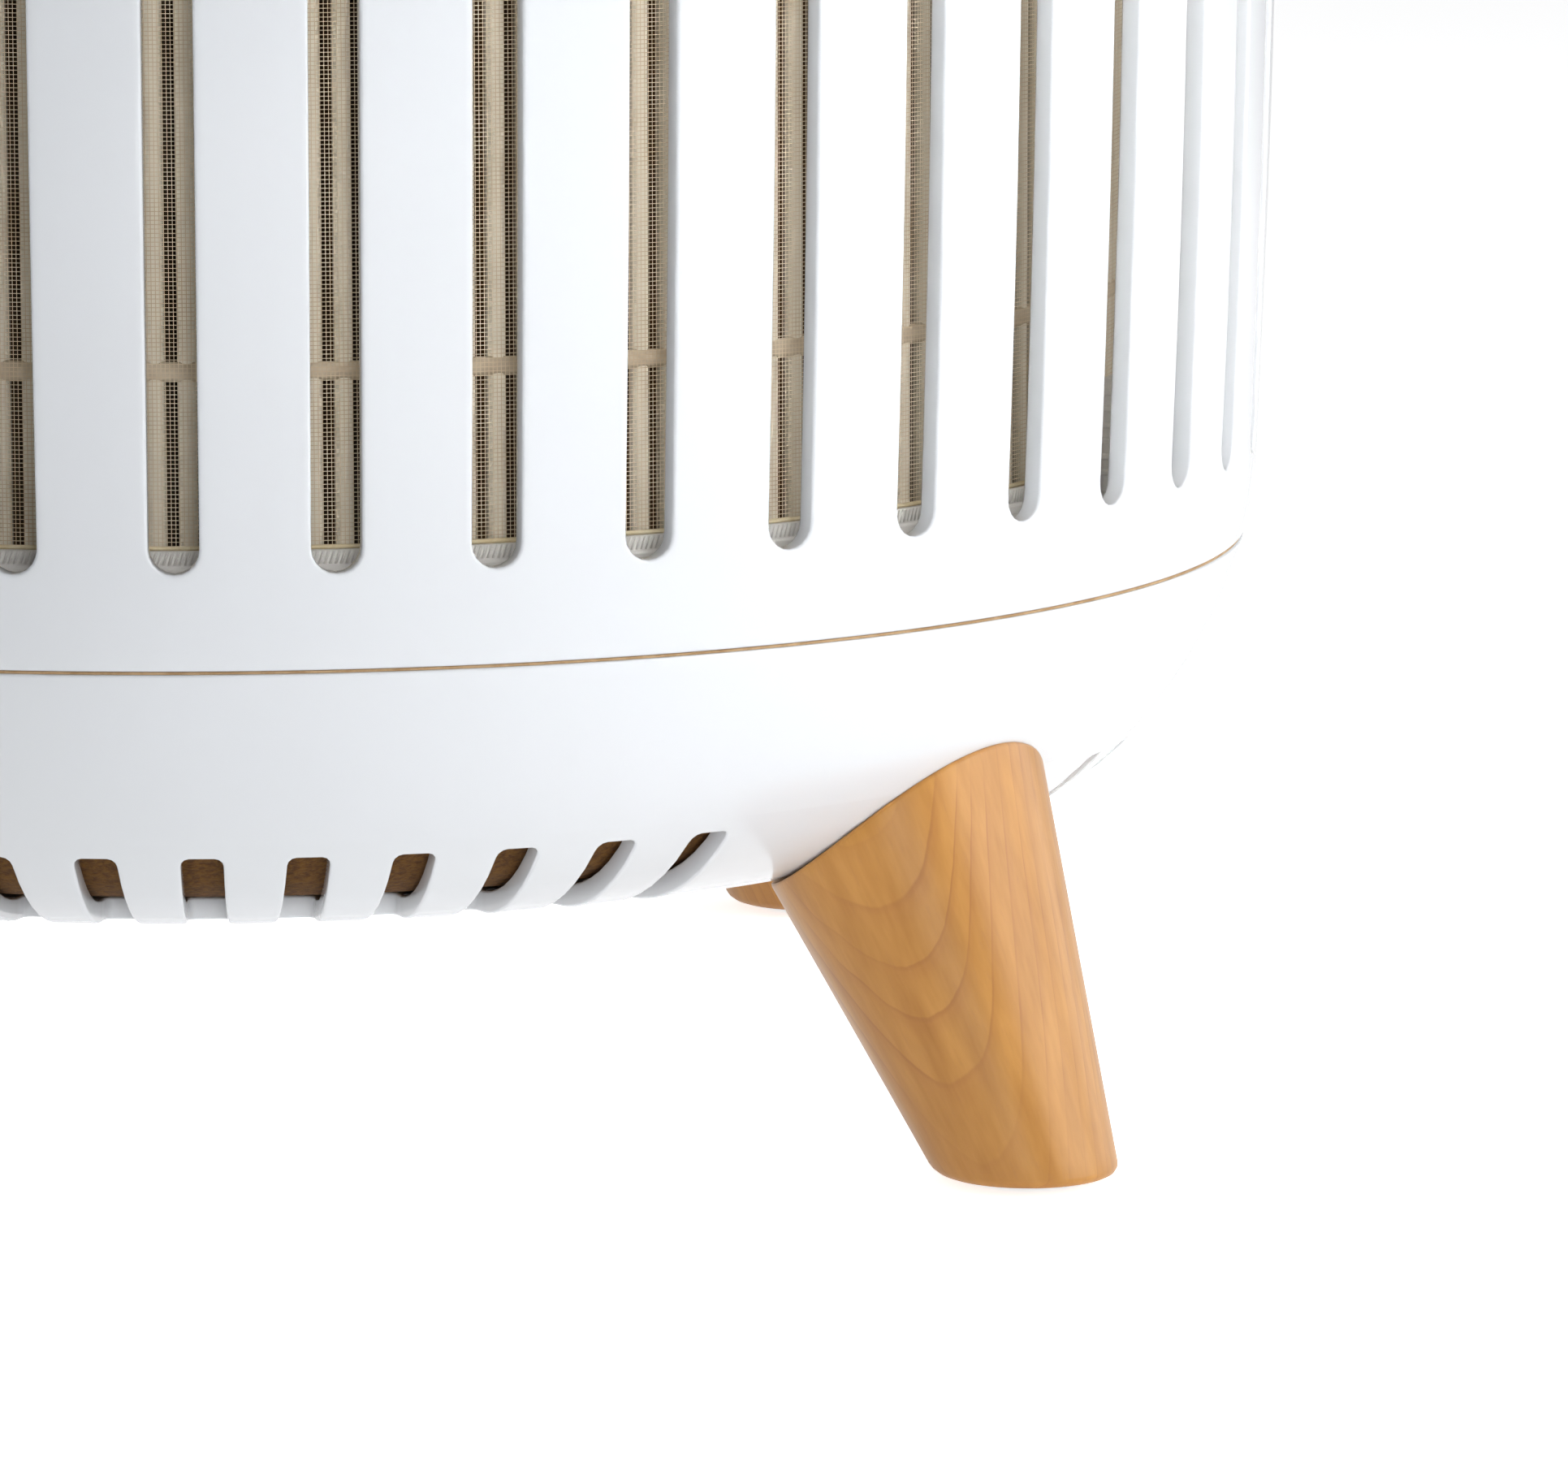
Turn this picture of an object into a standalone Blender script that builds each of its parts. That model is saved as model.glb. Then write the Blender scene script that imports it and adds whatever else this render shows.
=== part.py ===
"""Round air purifier on four turned wooden legs.

Metres, +Z up. The origin is on the floor, on the body's axis. The front faces -Y.
A bearing is an angle about Z from the front, growing towards +X.
The body is a slotted drum with an all-round filter inside and a fan above the filter. It sits in a
bowl-shaped base that carries the legs.
"""

import math

import bmesh
import bpy
from mathutils import Matrix, Vector

MM = 0.001

# Overall body
BODY_RADIUS = 150 * MM
BODY_HEIGHT = 302 * MM
UNDERSIDE_Z = 38.3 * MM
WALL = 3 * MM
FIT_GAP = 0.3 * MM
SIDE_BULGE = 2 * MM
SHOULDER_RUN = 42.8 * MM
SHOULDER_RISE = 55 * MM
EQUATOR_Z = UNDERSIDE_Z + BODY_HEIGHT / 2
TOP_Z = UNDERSIDE_Z + BODY_HEIGHT
LOW_SHOULDER_Z = UNDERSIDE_Z + SHOULDER_RISE
HIGH_SHOULDER_Z = TOP_Z - SHOULDER_RISE
FLAT_RADIUS = BODY_RADIUS - SIDE_BULGE - SHOULDER_RUN
SEAM_GAP = 0.4 * MM
BASE_SEAM_Z = 77.4 * MM
CAP_SEAM_DROP = 39.1 * MM
CAP_SEAM_Z = TOP_Z - CAP_SEAM_DROP

# Slots in the drum
SLOTS_A_TURN = 45
SLOT_WIDTH = 6.5 * MM
SLOT_LOW_Z = 90.4 * MM
SLOT_HIGH_DROP = 81.3 * MM
SLOT_HIGH_Z = TOP_Z - SLOT_HIGH_DROP
REAR_PANEL_HALF_ANGLE = 14

# Vents under the bowl
VENT_PITCH = 6
VENTS_A_SIDE = 10
VENT_WIDTH = 5.5 * MM
VENT_LENGTH = 27.7 * MM
VENT_INSET = 0.2 * MM
VENT_INNER_R = FLAT_RADIUS - VENT_INSET
VENT_OUTER_R = VENT_INNER_R + VENT_LENGTH

# Legs: a tapered peg whose centre line leans out
LEG_FOOT_R = 12.4 * MM
LEG_TAPER = 0.2
LEG_INSET = 6.2 * MM
FRONT_LEG = {"bearing": 46.7, "stand": BODY_RADIUS - LEG_INSET, "lean": 0.495}
REAR_LEG = {"bearing": 139, "stand": BODY_RADIUS - LEG_INSET, "lean": 0.495}
LEG_TOP_Z = 75 * MM
LEG_LIFT = 0.8 * MM
LEG_EDGE = 1.6 * MM
GLIDE_R = 8 * MM
GLIDE_DEPTH = 2.2 * MM
LEG_BOLT_R = 3 * MM
LEG_BOLT_REACH = 18 * MM
LEG_BOLT_HEAD_R = 5.5 * MM
LEG_BOLT_HEAD = 4 * MM
LEG_BOSS_R = 9.5 * MM
LEG_BOSS_RISE = 5 * MM

# Spigot where the drum sits on the bowl
SPIGOT_RISE = 6.5 * MM
SPIGOT_WALL = 1.8 * MM
SPIGOT_CLEARANCE = 0.5 * MM

# Filter and its tray
FILTER_LOW_Z = 85.3 * MM
FILTER_HIGH_DROP = 78.3 * MM
FILTER_HIGH_Z = TOP_Z - FILTER_HIGH_DROP
FILTER_INSET = 18 * MM
FILTER_R = BODY_RADIUS - FILTER_INSET
FILTER_CAP = 3 * MM
FILTER_RIM_RISE = 5.9 * MM
FILTER_RIM_WALL = 1.4 * MM
NET_WALL = 0.8 * MM
PLEAT_DEPTH = 28 * MM
CARBON_WALL = 6 * MM
CORE_WALL = 3 * MM
CORE_WINDOWS = 6
CORE_WINDOW_WIDTH = 60 * MM
CORE_WINDOW_DEPTH = 40 * MM
SEAL_WALL = 12 * MM
SEAL_HEIGHT = 3.2 * MM
TRAY_PLATE_Z = 78 * MM
TRAY_PLATE = 3 * MM
TRAY_HUB_R = 20 * MM
TRAY_SEAT_WIDTH = 20 * MM
TRAY_SEAT_R = FILTER_R - TRAY_SEAT_WIDTH
TRAY_RIM_RISE = 3.2 * MM
TRAY_RIM_WALL = 2 * MM
GUIDE_BEARINGS = (-128, -65, 65, 128)
GUIDE_WIDTH = 9 * MM
GUIDE_DEPTH = 3.5 * MM
GUIDE_TOP_Z = 104 * MM
TRAY_POST_RING = 62 * MM
TRAY_POST_R = 5.5 * MM
SCREW_R = 1.5 * MM
SCREW_HEAD_R = 3.2 * MM
SCREW_HEAD = 2 * MM
SCREW_GRIP = 11 * MM

# Fan: inlet plate, duct, impeller and motor
LEDGE = 3 * MM
LEDGE_DEPTH = 12 * MM
LEDGE_INNER_R = BODY_RADIUS - LEDGE_DEPTH
PLATE = 3 * MM
EYE_R = 66 * MM
EYE_FLARE = 10 * MM
EYE_RISE = 10 * MM
DUCT_R = 122 * MM
DUCT_WALL = 2.5 * MM
DUCT_HEIGHT = 51.6 * MM
IMPELLER_R = 92 * MM
IMPELLER_BLADES = 9
IMPELLER_DISC = 2.4 * MM
IMPELLER_CLEARANCE = 4 * MM
BLADE_HEIGHT = 24 * MM
BLADE_WALL = 2 * MM
BLADE_INNER_R = 74 * MM
BLADE_SWEEP = 16
BLADE_STEPS = 3
SHAFT_R = 4 * MM
RUNNING_GAP = 0.1 * MM
HUB_R = 11 * MM
NUT_R = 7 * MM
NUT_HEIGHT = 4 * MM
HUB_DROP = 9 * MM
ROTOR_R = 30 * MM
ROTOR_WALL = 2 * MM
ROTOR_HEIGHT = 13 * MM
AIR_GAP = 0.7 * MM
BEARING_R = 9 * MM
BEARING_WIDTH = 4.4 * MM
STATOR_HEIGHT = 12.6 * MM
BRACKET = 3.5 * MM
BRACKET_HUB_R = 34 * MM
BRACKET_ARMS = 3
BRACKET_ARM_WIDTH = 12 * MM
MOTOR_SCREW_RING = 18 * MM

# Top: cap, grille, control panel and buttons
GRILLE_R = 117.6 * MM
GRILLE = 3.8 * MM
GRILLE_SEAT_DROP = 7 * MM
GRILLE_SEAT_Z = TOP_Z - GRILLE_SEAT_DROP
GRILLE_SLOTS = 36
GRILLE_SLOT_WIDTH = 5.2 * MM
GRILLE_SLOT_INNER_R = 76 * MM
GRILLE_SLOT_OUTER_R = 111 * MM
GRILLE_HUB_R = 70 * MM
GRILLE_LEDGE_R = 58 * MM
GRILLE_LEDGE = 2.5 * MM
CAP_LEDGE = 4.5 * MM
PANEL_R = 64 * MM
PANEL_TOP_DROP = 0.3 * MM
PANEL_TOP_Z = TOP_Z - PANEL_TOP_DROP
PANEL = 3.8 * MM
PANEL_SKIRT = 3 * MM
BUTTON_NAMES = ("power_button", "speed_button", "timer_button", "sleep_button")
BUTTON_RING = 40 * MM
BUTTON_PITCH = 36
BUTTON_R = 8 * MM
BUTTON_PROUD = 0.9 * MM
BUTTON_LIP = 1.5 * MM
BUTTON_TRAVEL = 0.8 * MM
BUTTON_STEM_R = 2.5 * MM
BOARD_R = 50 * MM
BOARD = 1.6 * MM
BOARD_RAISE = 2.1 * MM
BOARD_POST_RING = 44 * MM
SWITCH_SIDE = 6 * MM
SWITCH_HEIGHT = 2.4 * MM

# Cap screws
CAP_SCREW_INSET = 14 * MM
CAP_SCREW_RING = BODY_RADIUS - CAP_SCREW_INSET
CAP_SCREW_BEARINGS = (-150, -60, 60, 150)
CAP_BOSS_R = 4.5 * MM
CAP_BOSS_DROP = 16 * MM
CAP_FLANGE = 3 * MM
CAP_FLANGE_REACH = 18.5 * MM
CAP_FLANGE_INNER_R = BODY_RADIUS - CAP_FLANGE_REACH

# Rear: power inlet, wire channel, main board; right side: dust sensor
INLET_Z = 106 * MM
INLET_NOSE_R = 5.4 * MM
INLET_BORE_R = 3.2 * MM
INLET_BORE_DEPTH = 9 * MM
INLET_SIDE = 13 * MM
REAR_SEAT_GAP = 0.8 * MM
CHANNEL_WIDTH = 14 * MM
CHANNEL_DEPTH = 8 * MM
CHANNEL_WALL = 1.5 * MM
MAIN_BOARD_HALF_ANGLE = 24
SENSOR_BEARING = 90
SENSOR_WIDTH = 24 * MM
SENSOR_DEPTH = 9 * MM
SENSOR_HEIGHT = 16 * MM
SENSOR_SLITS = 5
SENSOR_SLIT_WIDTH = 1.6 * MM
SENSOR_SLIT_HEIGHT = 10 * MM
SENSOR_SLIT_PITCH = 3.6 * MM

# Fineness of round pieces
ROUND = 45
MID_ROUND = 32
SMALL_ROUND = 16
SCREW_ROUND = 8
ARC_STEPS = 5
SHARP_ANGLE = math.radians(32)

# Lays a shape that stands along Z down to point along X
OUTWARDS = Matrix(((0, 0, 1, 0), (0, 1, 0, 0), (-1, 0, 0, 0), (0, 0, 0, 1)))

# Colours: red, green, blue, then roughness and metallic
FINISHES = {
    "white_gloss": (0.86, 0.87, 0.88, 0.12, 0.0),
    "grey_plastic": (0.55, 0.55, 0.54, 0.45, 0.0),
    "maple": (0.62, 0.36, 0.16, 0.35, 0.0),
    "felt_rubber": (0.12, 0.11, 0.10, 0.8, 0.0),
    "steel": (0.62, 0.62, 0.63, 0.3, 1.0),
    "filter_paper": (0.70, 0.62, 0.48, 0.9, 0.0),
    "filter_net": (0.45, 0.38, 0.28, 0.8, 0.0),
    "carbon": (0.05, 0.05, 0.05, 0.9, 0.0),
    "foam": (0.18, 0.18, 0.19, 0.95, 0.0),
    "black_plastic": (0.04, 0.04, 0.045, 0.4, 0.0),
    "circuit_green": (0.03, 0.20, 0.09, 0.45, 0.0),
    "copper": (0.72, 0.38, 0.20, 0.35, 1.0),
    "light_guide": (0.93, 0.94, 0.95, 0.3, 0.0),
}


# ---------------------------------------------------------------- helpers


def clear_scene():
    for item in list(bpy.data.objects):
        bpy.data.objects.remove(item, do_unlink=True)


def finish(name):
    found = bpy.data.materials.get(name)
    if found:
        return found
    red, green, blue, roughness, metallic = FINISHES[name]
    material = bpy.data.materials.new(name)
    material.use_nodes = True
    shader = material.node_tree.nodes["Principled BSDF"]
    shader.inputs["Base Color"].default_value = (red, green, blue, 1)
    shader.inputs["Roughness"].default_value = roughness
    shader.inputs["Metallic"].default_value = metallic
    return material


def place(name, bm, material, place_at=None):
    """Makes an object of the mesh, with its origin at place_at, a matrix."""
    bmesh.ops.recalc_face_normals(bm, faces=bm.faces[:])
    mesh = bpy.data.meshes.new(name)
    bm.to_mesh(mesh)
    bm.free()
    mesh.shade_smooth()
    mesh.set_sharp_from_angle(angle=SHARP_ANGLE)
    piece = bpy.data.objects.new(name, mesh)
    bpy.context.scene.collection.objects.link(piece)
    mesh.materials.append(finish(material))
    if place_at:
        piece.matrix_world = place_at
    return piece


def helper(name, bm):
    """A cutter, or a shape to add: it isn't a piece of the object."""
    piece = place(name, bm, "grey_plastic")
    piece.hide_render = True
    piece.display_type = "WIRE"
    return piece


def combine(piece, bm, operation):
    """Adds or cuts the shapes of bm, each of which is closed and apart from the others."""
    other = helper(f"{piece.name}.{operation.lower()}.{len(piece.modifiers)}", bm)
    modifier = piece.modifiers.new(operation.title(), "BOOLEAN")
    modifier.operation = operation
    modifier.object = other
    return piece


def cut(piece, bm):
    return combine(piece, bm, "DIFFERENCE")


def add(piece, bm):
    return combine(piece, bm, "UNION")


def merged(*parts):
    """Several closed shapes that don't touch, as one mesh."""
    bm = parts[0]
    for part in parts[1:]:
        mesh = bpy.data.meshes.new("part")
        part.to_mesh(mesh)
        part.free()
        bm.from_mesh(mesh)
        bpy.data.meshes.remove(mesh)
    return bm


def moved(bm, matrix):
    bmesh.ops.transform(bm, matrix=matrix, verts=bm.verts[:])
    return bm


def towards(bearing, radius=0.0, z=0.0):
    """The frame at a bearing: its X axis points outwards and its Z axis up."""
    turn = Matrix.Rotation(math.radians(bearing - 90), 4, "Z")
    return turn @ Matrix.Translation((radius, 0, z))


def turned(outline, steps=ROUND):
    """A solid turned about Z from a closed outline of (radius, height) points."""
    bm = bmesh.new()
    rings = []
    for radius, height in outline:
        if radius < 1e-7:
            rings.append([bm.verts.new((0, 0, height))])
            continue
        ring = []
        for step in range(steps):
            angle = 2 * math.pi * step / steps - math.pi / 2
            ring.append(bm.verts.new((radius * math.cos(angle), radius * math.sin(angle), height)))
        rings.append(ring)
    for low, high in zip(rings, rings[1:] + rings[:1]):
        if len(low) == 1 and len(high) == 1:
            continue
        for step in range(steps):
            after = (step + 1) % steps
            if len(low) == 1:
                bm.faces.new((low[0], high[after], high[step]))
            elif len(high) == 1:
                bm.faces.new((low[step], low[after], high[0]))
            else:
                bm.faces.new((low[step], low[after], high[after], high[step]))
    return bm


def tube(inner, outer, low, high, steps=ROUND):
    return turned([(inner, low), (outer, low), (outer, high), (inner, high)], steps)


def rod(radius, low, high, steps=SMALL_ROUND):
    return turned([(0, low), (radius, low), (radius, high), (0, high)], steps)


def prism(outline, low, high):
    """An outline of (x, y) points, extruded from height low to high."""
    bm = bmesh.new()
    bottom = [bm.verts.new((x, y, low)) for x, y in outline]
    top = [bm.verts.new((x, y, high)) for x, y in outline]
    bm.faces.new(bottom[::-1])
    bm.faces.new(top)
    for here, there in zip(range(len(outline)), list(range(1, len(outline))) + [0]):
        bm.faces.new((bottom[here], bottom[there], top[there], top[here]))
    return bm


def block(size_x, size_y, low, high):
    x, y = size_x / 2, size_y / 2
    return prism([(-x, -y), (x, -y), (x, y), (-x, y)], low, high)


def rounded_outline(length, width, corner, steps=3):
    """A rectangle centred on the origin, with its corners rounded."""
    points = []
    for quarter, (side_x, side_y) in enumerate(((1, 1), (-1, 1), (-1, -1), (1, -1))):
        centre_x = side_x * (length / 2 - corner)
        centre_y = side_y * (width / 2 - corner)
        for step in range(steps + 1):
            angle = math.pi / 2 * (quarter + step / steps)
            points.append((centre_x + corner * math.cos(angle), centre_y + corner * math.sin(angle)))
    clean = []
    for point in points:
        if not clean or math.dist(point, clean[-1]) > 1e-6:
            clean.append(point)
    if math.dist(clean[0], clean[-1]) < 1e-6:
        clean.pop()
    return clean


def side_slot(width, low, high, inner_r, outer_r, steps=2):
    """A cutter for an upright slot with round ends, pointing along X."""
    outline = rounded_outline(high - low, width, width / 2 - 1e-6, steps)
    bm = prism(outline, inner_r, outer_r)
    upright = Matrix(((0, 0, 1, 0), (0, 1, 0, 0), (1, 0, 0, (low + high) / 2), (0, 0, 0, 1)))
    return moved(bm, upright)


# ---------------------------------------------------------------- body outline


def body_radius(z, inset=0.0):
    """The body's outer radius at a height, or that of a skin a little inside it."""
    z = min(z, 2 * EQUATOR_Z - z)
    if z >= LOW_SHOULDER_Z:
        share = (EQUATOR_Z - z) / (EQUATOR_Z - LOW_SHOULDER_Z)
        return BODY_RADIUS - inset - SIDE_BULGE * share**2
    drop = (LOW_SHOULDER_Z - z) / (SHOULDER_RISE - inset)
    return FLAT_RADIUS + (SHOULDER_RUN - inset) * math.sqrt(max(0.0, 1 - drop * drop))


def shoulder_z(radius, inset=0.0):
    """The height of the bowl's skin at a radius."""
    run = max(0.0, min(1.0, (radius - FLAT_RADIUS) / (SHOULDER_RUN - inset)))
    return LOW_SHOULDER_Z - (SHOULDER_RISE - inset) * math.sqrt(1 - run * run)


def bowl_curve(inset, from_z, steps=ARC_STEPS):
    """Points of the bowl's skin from the flat underside up to from_z."""
    start = math.asin((LOW_SHOULDER_Z - from_z) / (SHOULDER_RISE - inset))
    points = []
    for step in range(steps + 1):
        angle = math.pi / 2 + (start - math.pi / 2) * step / steps
        radius = FLAT_RADIUS + (SHOULDER_RUN - inset) * math.cos(angle)
        points.append((radius, LOW_SHOULDER_Z - (SHOULDER_RISE - inset) * math.sin(angle)))
    return points


def flipped(points):
    """The same points, above the body's middle instead of below it."""
    return [(radius, 2 * EQUATOR_Z - z) for radius, z in points]


def side_curve(inset, low, high, steps=5):
    points = []
    for step in range(steps + 1):
        z = low + (high - low) * step / steps
        points.append((body_radius(z, inset), z))
    return points


# ---------------------------------------------------------------- base


LEGS = {
    "leg_front_right": (FRONT_LEG, 1),
    "leg_front_left": (FRONT_LEG, -1),
    "leg_rear_right": (REAR_LEG, 1),
    "leg_rear_left": (REAR_LEG, -1),
}


def leg_frame(leg, side):
    """A frame where the leg's centre line meets the bowl: Z points square to the bowl, inwards."""
    stand, lean = leg["stand"], leg["lean"]
    z = UNDERSIDE_Z
    for _ in range(20):
        z = shoulder_z(stand - lean * z)
    share = (stand - lean * z - FLAT_RADIUS) / SHOULDER_RUN
    slope = SHOULDER_RISE / SHOULDER_RUN * share / math.sqrt(1 - share * share)
    up = Vector((-slope, 0, 1)).normalized()
    out = Vector((0, 1, 0)).cross(up)
    axes = Matrix((out, Vector((0, 1, 0)), up)).transposed().to_4x4()
    axes.translation = Vector((stand - lean * z, 0, z))
    return towards(side * leg["bearing"]) @ axes


def spigot_radius():
    return body_radius(BASE_SEAM_Z, WALL) - SPIGOT_CLEARANCE


def base_bowl():
    outer = bowl_curve(0, BASE_SEAM_Z)
    spigot = spigot_radius()
    inside = spigot - SPIGOT_WALL
    foot_z = shoulder_z(inside, WALL)
    inner = bowl_curve(WALL, foot_z, 3)
    outline = [(0, UNDERSIDE_Z)] + outer
    outline += [(spigot, BASE_SEAM_Z), (spigot, BASE_SEAM_Z + SPIGOT_RISE)]
    outline += [(inside, BASE_SEAM_Z + SPIGOT_RISE)] + inner[::-1] + [(0, UNDERSIDE_Z + WALL)]
    bowl = place("base_bowl", turned(outline, ROUND), "white_gloss")
    floor = UNDERSIDE_Z + WALL
    posts = []
    for bearing in range(45, 360, 90):
        post = rod(TRAY_POST_R, floor - WALL / 2, TRAY_PLATE_Z - FIT_GAP, 12)
        posts.append(moved(post, towards(bearing, TRAY_POST_RING)))
    add(bowl, merged(*posts))
    bosses = []
    for leg, side in LEGS.values():
        bosses.append(moved(rod(LEG_BOSS_R, WALL / 2, WALL + LEG_BOSS_RISE), leg_frame(leg, side)))
    add(bowl, merged(*bosses))
    vents = []
    middle = (VENT_INNER_R + VENT_OUTER_R) / 2
    for quarter in range(4):
        for index in range(VENTS_A_SIDE):
            bearing = 90 * quarter + (index - (VENTS_A_SIDE - 1) / 2) * VENT_PITCH
            length = VENT_OUTER_R - VENT_INNER_R
            vent = block(length, VENT_WIDTH, UNDERSIDE_Z - 5 * MM, LOW_SHOULDER_Z - 20 * MM)
            vents.append(moved(vent, towards(bearing, middle)))
    cut(bowl, merged(*vents))
    holes = []
    for bearing in range(45, 360, 90):
        hole = rod(SCREW_R + FIT_GAP, TRAY_PLATE_Z - SCREW_GRIP, TRAY_PLATE_Z + 1 * MM, SCREW_ROUND)
        holes.append(moved(hole, towards(bearing, TRAY_POST_RING)))
    for leg, side in LEGS.values():
        hole = rod(LEG_BOLT_R + FIT_GAP, -6 * MM, WALL + LEG_BOSS_RISE + 1 * MM, 10)
        holes.append(moved(hole, leg_frame(leg, side)))
    cut(bowl, merged(*holes))


def leg(name, shape, side):
    def ring(z):
        return shape["stand"] - shape["lean"] * z, LEG_FOOT_R + LEG_TAPER * z

    bm = bmesh.new()
    heights = (LEG_LIFT, LEG_LIFT + LEG_EDGE * 0.3, LEG_LIFT + LEG_EDGE, LEG_TOP_Z)
    pinches = (LEG_EDGE, LEG_EDGE * 0.3, 0, 0)
    steps = 24
    rings = []
    for z, pinch in zip(heights, pinches):
        centre, radius = ring(z)
        points = []
        for step in range(steps):
            angle = 2 * math.pi * step / steps
            x = centre + (radius - pinch) * math.cos(angle)
            points.append(bm.verts.new((x, (radius - pinch) * math.sin(angle), z)))
        rings.append(points)
    bm.faces.new(rings[0][::-1])
    bm.faces.new(rings[-1])
    for low, high in zip(rings, rings[1:]):
        for step in range(steps):
            after = (step + 1) % steps
            bm.faces.new((low[step], low[after], high[after], high[step]))
    piece = place(name, moved(bm, towards(side * shape["bearing"])), "maple")
    above = [(0, LEG_TOP_Z + 10 * MM), (0, UNDERSIDE_Z - FIT_GAP)]
    above += bowl_curve(-FIT_GAP, BASE_SEAM_Z)
    above += [(BODY_RADIUS, LEG_TOP_Z + 10 * MM)]
    cut(piece, turned(above))
    pocket = rod(GLIDE_R + FIT_GAP, -1 * MM, GLIDE_DEPTH + FIT_GAP)
    cut(piece, moved(pocket, towards(side * shape["bearing"], shape["stand"])))
    cut(piece, moved(rod(LEG_BOLT_R + FIT_GAP, -LEG_BOLT_REACH - 1 * MM, 5 * MM, 10), leg_frame(shape, side)))


def legs():
    for name, (shape, side) in LEGS.items():
        leg(name, shape, side)
        corner = name.removeprefix("leg_")
        where = towards(side * shape["bearing"], shape["stand"])
        place(f"foot_glide_{corner}", rod(GLIDE_R, 0, GLIDE_DEPTH), "felt_rubber", where)
        seat = WALL + LEG_BOSS_RISE + FIT_GAP
        bolt = turned(
            [
                (0, -LEG_BOLT_REACH),
                (LEG_BOLT_R, -LEG_BOLT_REACH),
                (LEG_BOLT_R, seat),
                (LEG_BOLT_HEAD_R, seat),
                (LEG_BOLT_HEAD_R, seat + LEG_BOLT_HEAD),
                (0, seat + LEG_BOLT_HEAD),
            ],
            10,
        )
        place(f"leg_bolt_{corner}", bolt, "steel", leg_frame(shape, side))


def filter_tray():
    plate_top = TRAY_PLATE_Z + TRAY_PLATE
    seat_z = FILTER_LOW_Z - FIT_GAP
    rim_in = FILTER_R + 2 * FIT_GAP
    rim_out = rim_in + TRAY_RIM_WALL
    outline = [
        (TRAY_HUB_R, TRAY_PLATE_Z),
        (TRAY_SEAT_R, TRAY_PLATE_Z),
        (rim_out, seat_z - TRAY_PLATE),
        (rim_out, seat_z + TRAY_RIM_RISE),
        (rim_in, seat_z + TRAY_RIM_RISE),
        (rim_in, seat_z),
        (TRAY_SEAT_R, seat_z),
        (TRAY_SEAT_R - 3 * MM, plate_top),
        (TRAY_HUB_R, plate_top),
    ]
    tray = place("filter_tray", turned(outline, ROUND), "grey_plastic")
    guides = []
    for bearing in GUIDE_BEARINGS:
        guide = block(GUIDE_DEPTH + TRAY_RIM_WALL, GUIDE_WIDTH, seat_z - TRAY_PLATE, GUIDE_TOP_Z)
        middle = rim_in + 0.3 * MM + (GUIDE_DEPTH + TRAY_RIM_WALL) / 2
        guides.append(moved(guide, towards(bearing, middle)))
    add(tray, merged(*guides))
    holes = []
    for bearing in range(45, 360, 90):
        hole = rod(SCREW_R + FIT_GAP, TRAY_PLATE_Z - 1 * MM, plate_top + 1 * MM, SCREW_ROUND)
        holes.append(moved(hole, towards(bearing, TRAY_POST_RING)))
    cut(tray, merged(*holes))
    for index, bearing in enumerate(range(45, 360, 90), 1):
        screw = turned(
            [
                (0, TRAY_PLATE_Z - SCREW_GRIP + 1 * MM),
                (SCREW_R, TRAY_PLATE_Z - SCREW_GRIP + 1 * MM),
                (SCREW_R, plate_top + FIT_GAP),
                (SCREW_HEAD_R, plate_top + FIT_GAP),
                (SCREW_HEAD_R, plate_top + FIT_GAP + SCREW_HEAD),
                (0, plate_top + FIT_GAP + SCREW_HEAD),
            ],
            SCREW_ROUND,
        )
        place(f"tray_screw_{index}", screw, "steel", towards(bearing, TRAY_POST_RING))


# ---------------------------------------------------------------- filter


def filter_radii():
    """The outer radius of each layer, from the net inwards."""
    net = FILTER_R - FILTER_RIM_WALL - FIT_GAP
    pleats = net - NET_WALL - FIT_GAP
    carbon = pleats - PLEAT_DEPTH - FIT_GAP
    core = carbon - CARBON_WALL - FIT_GAP
    return net, pleats, carbon, core


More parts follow.
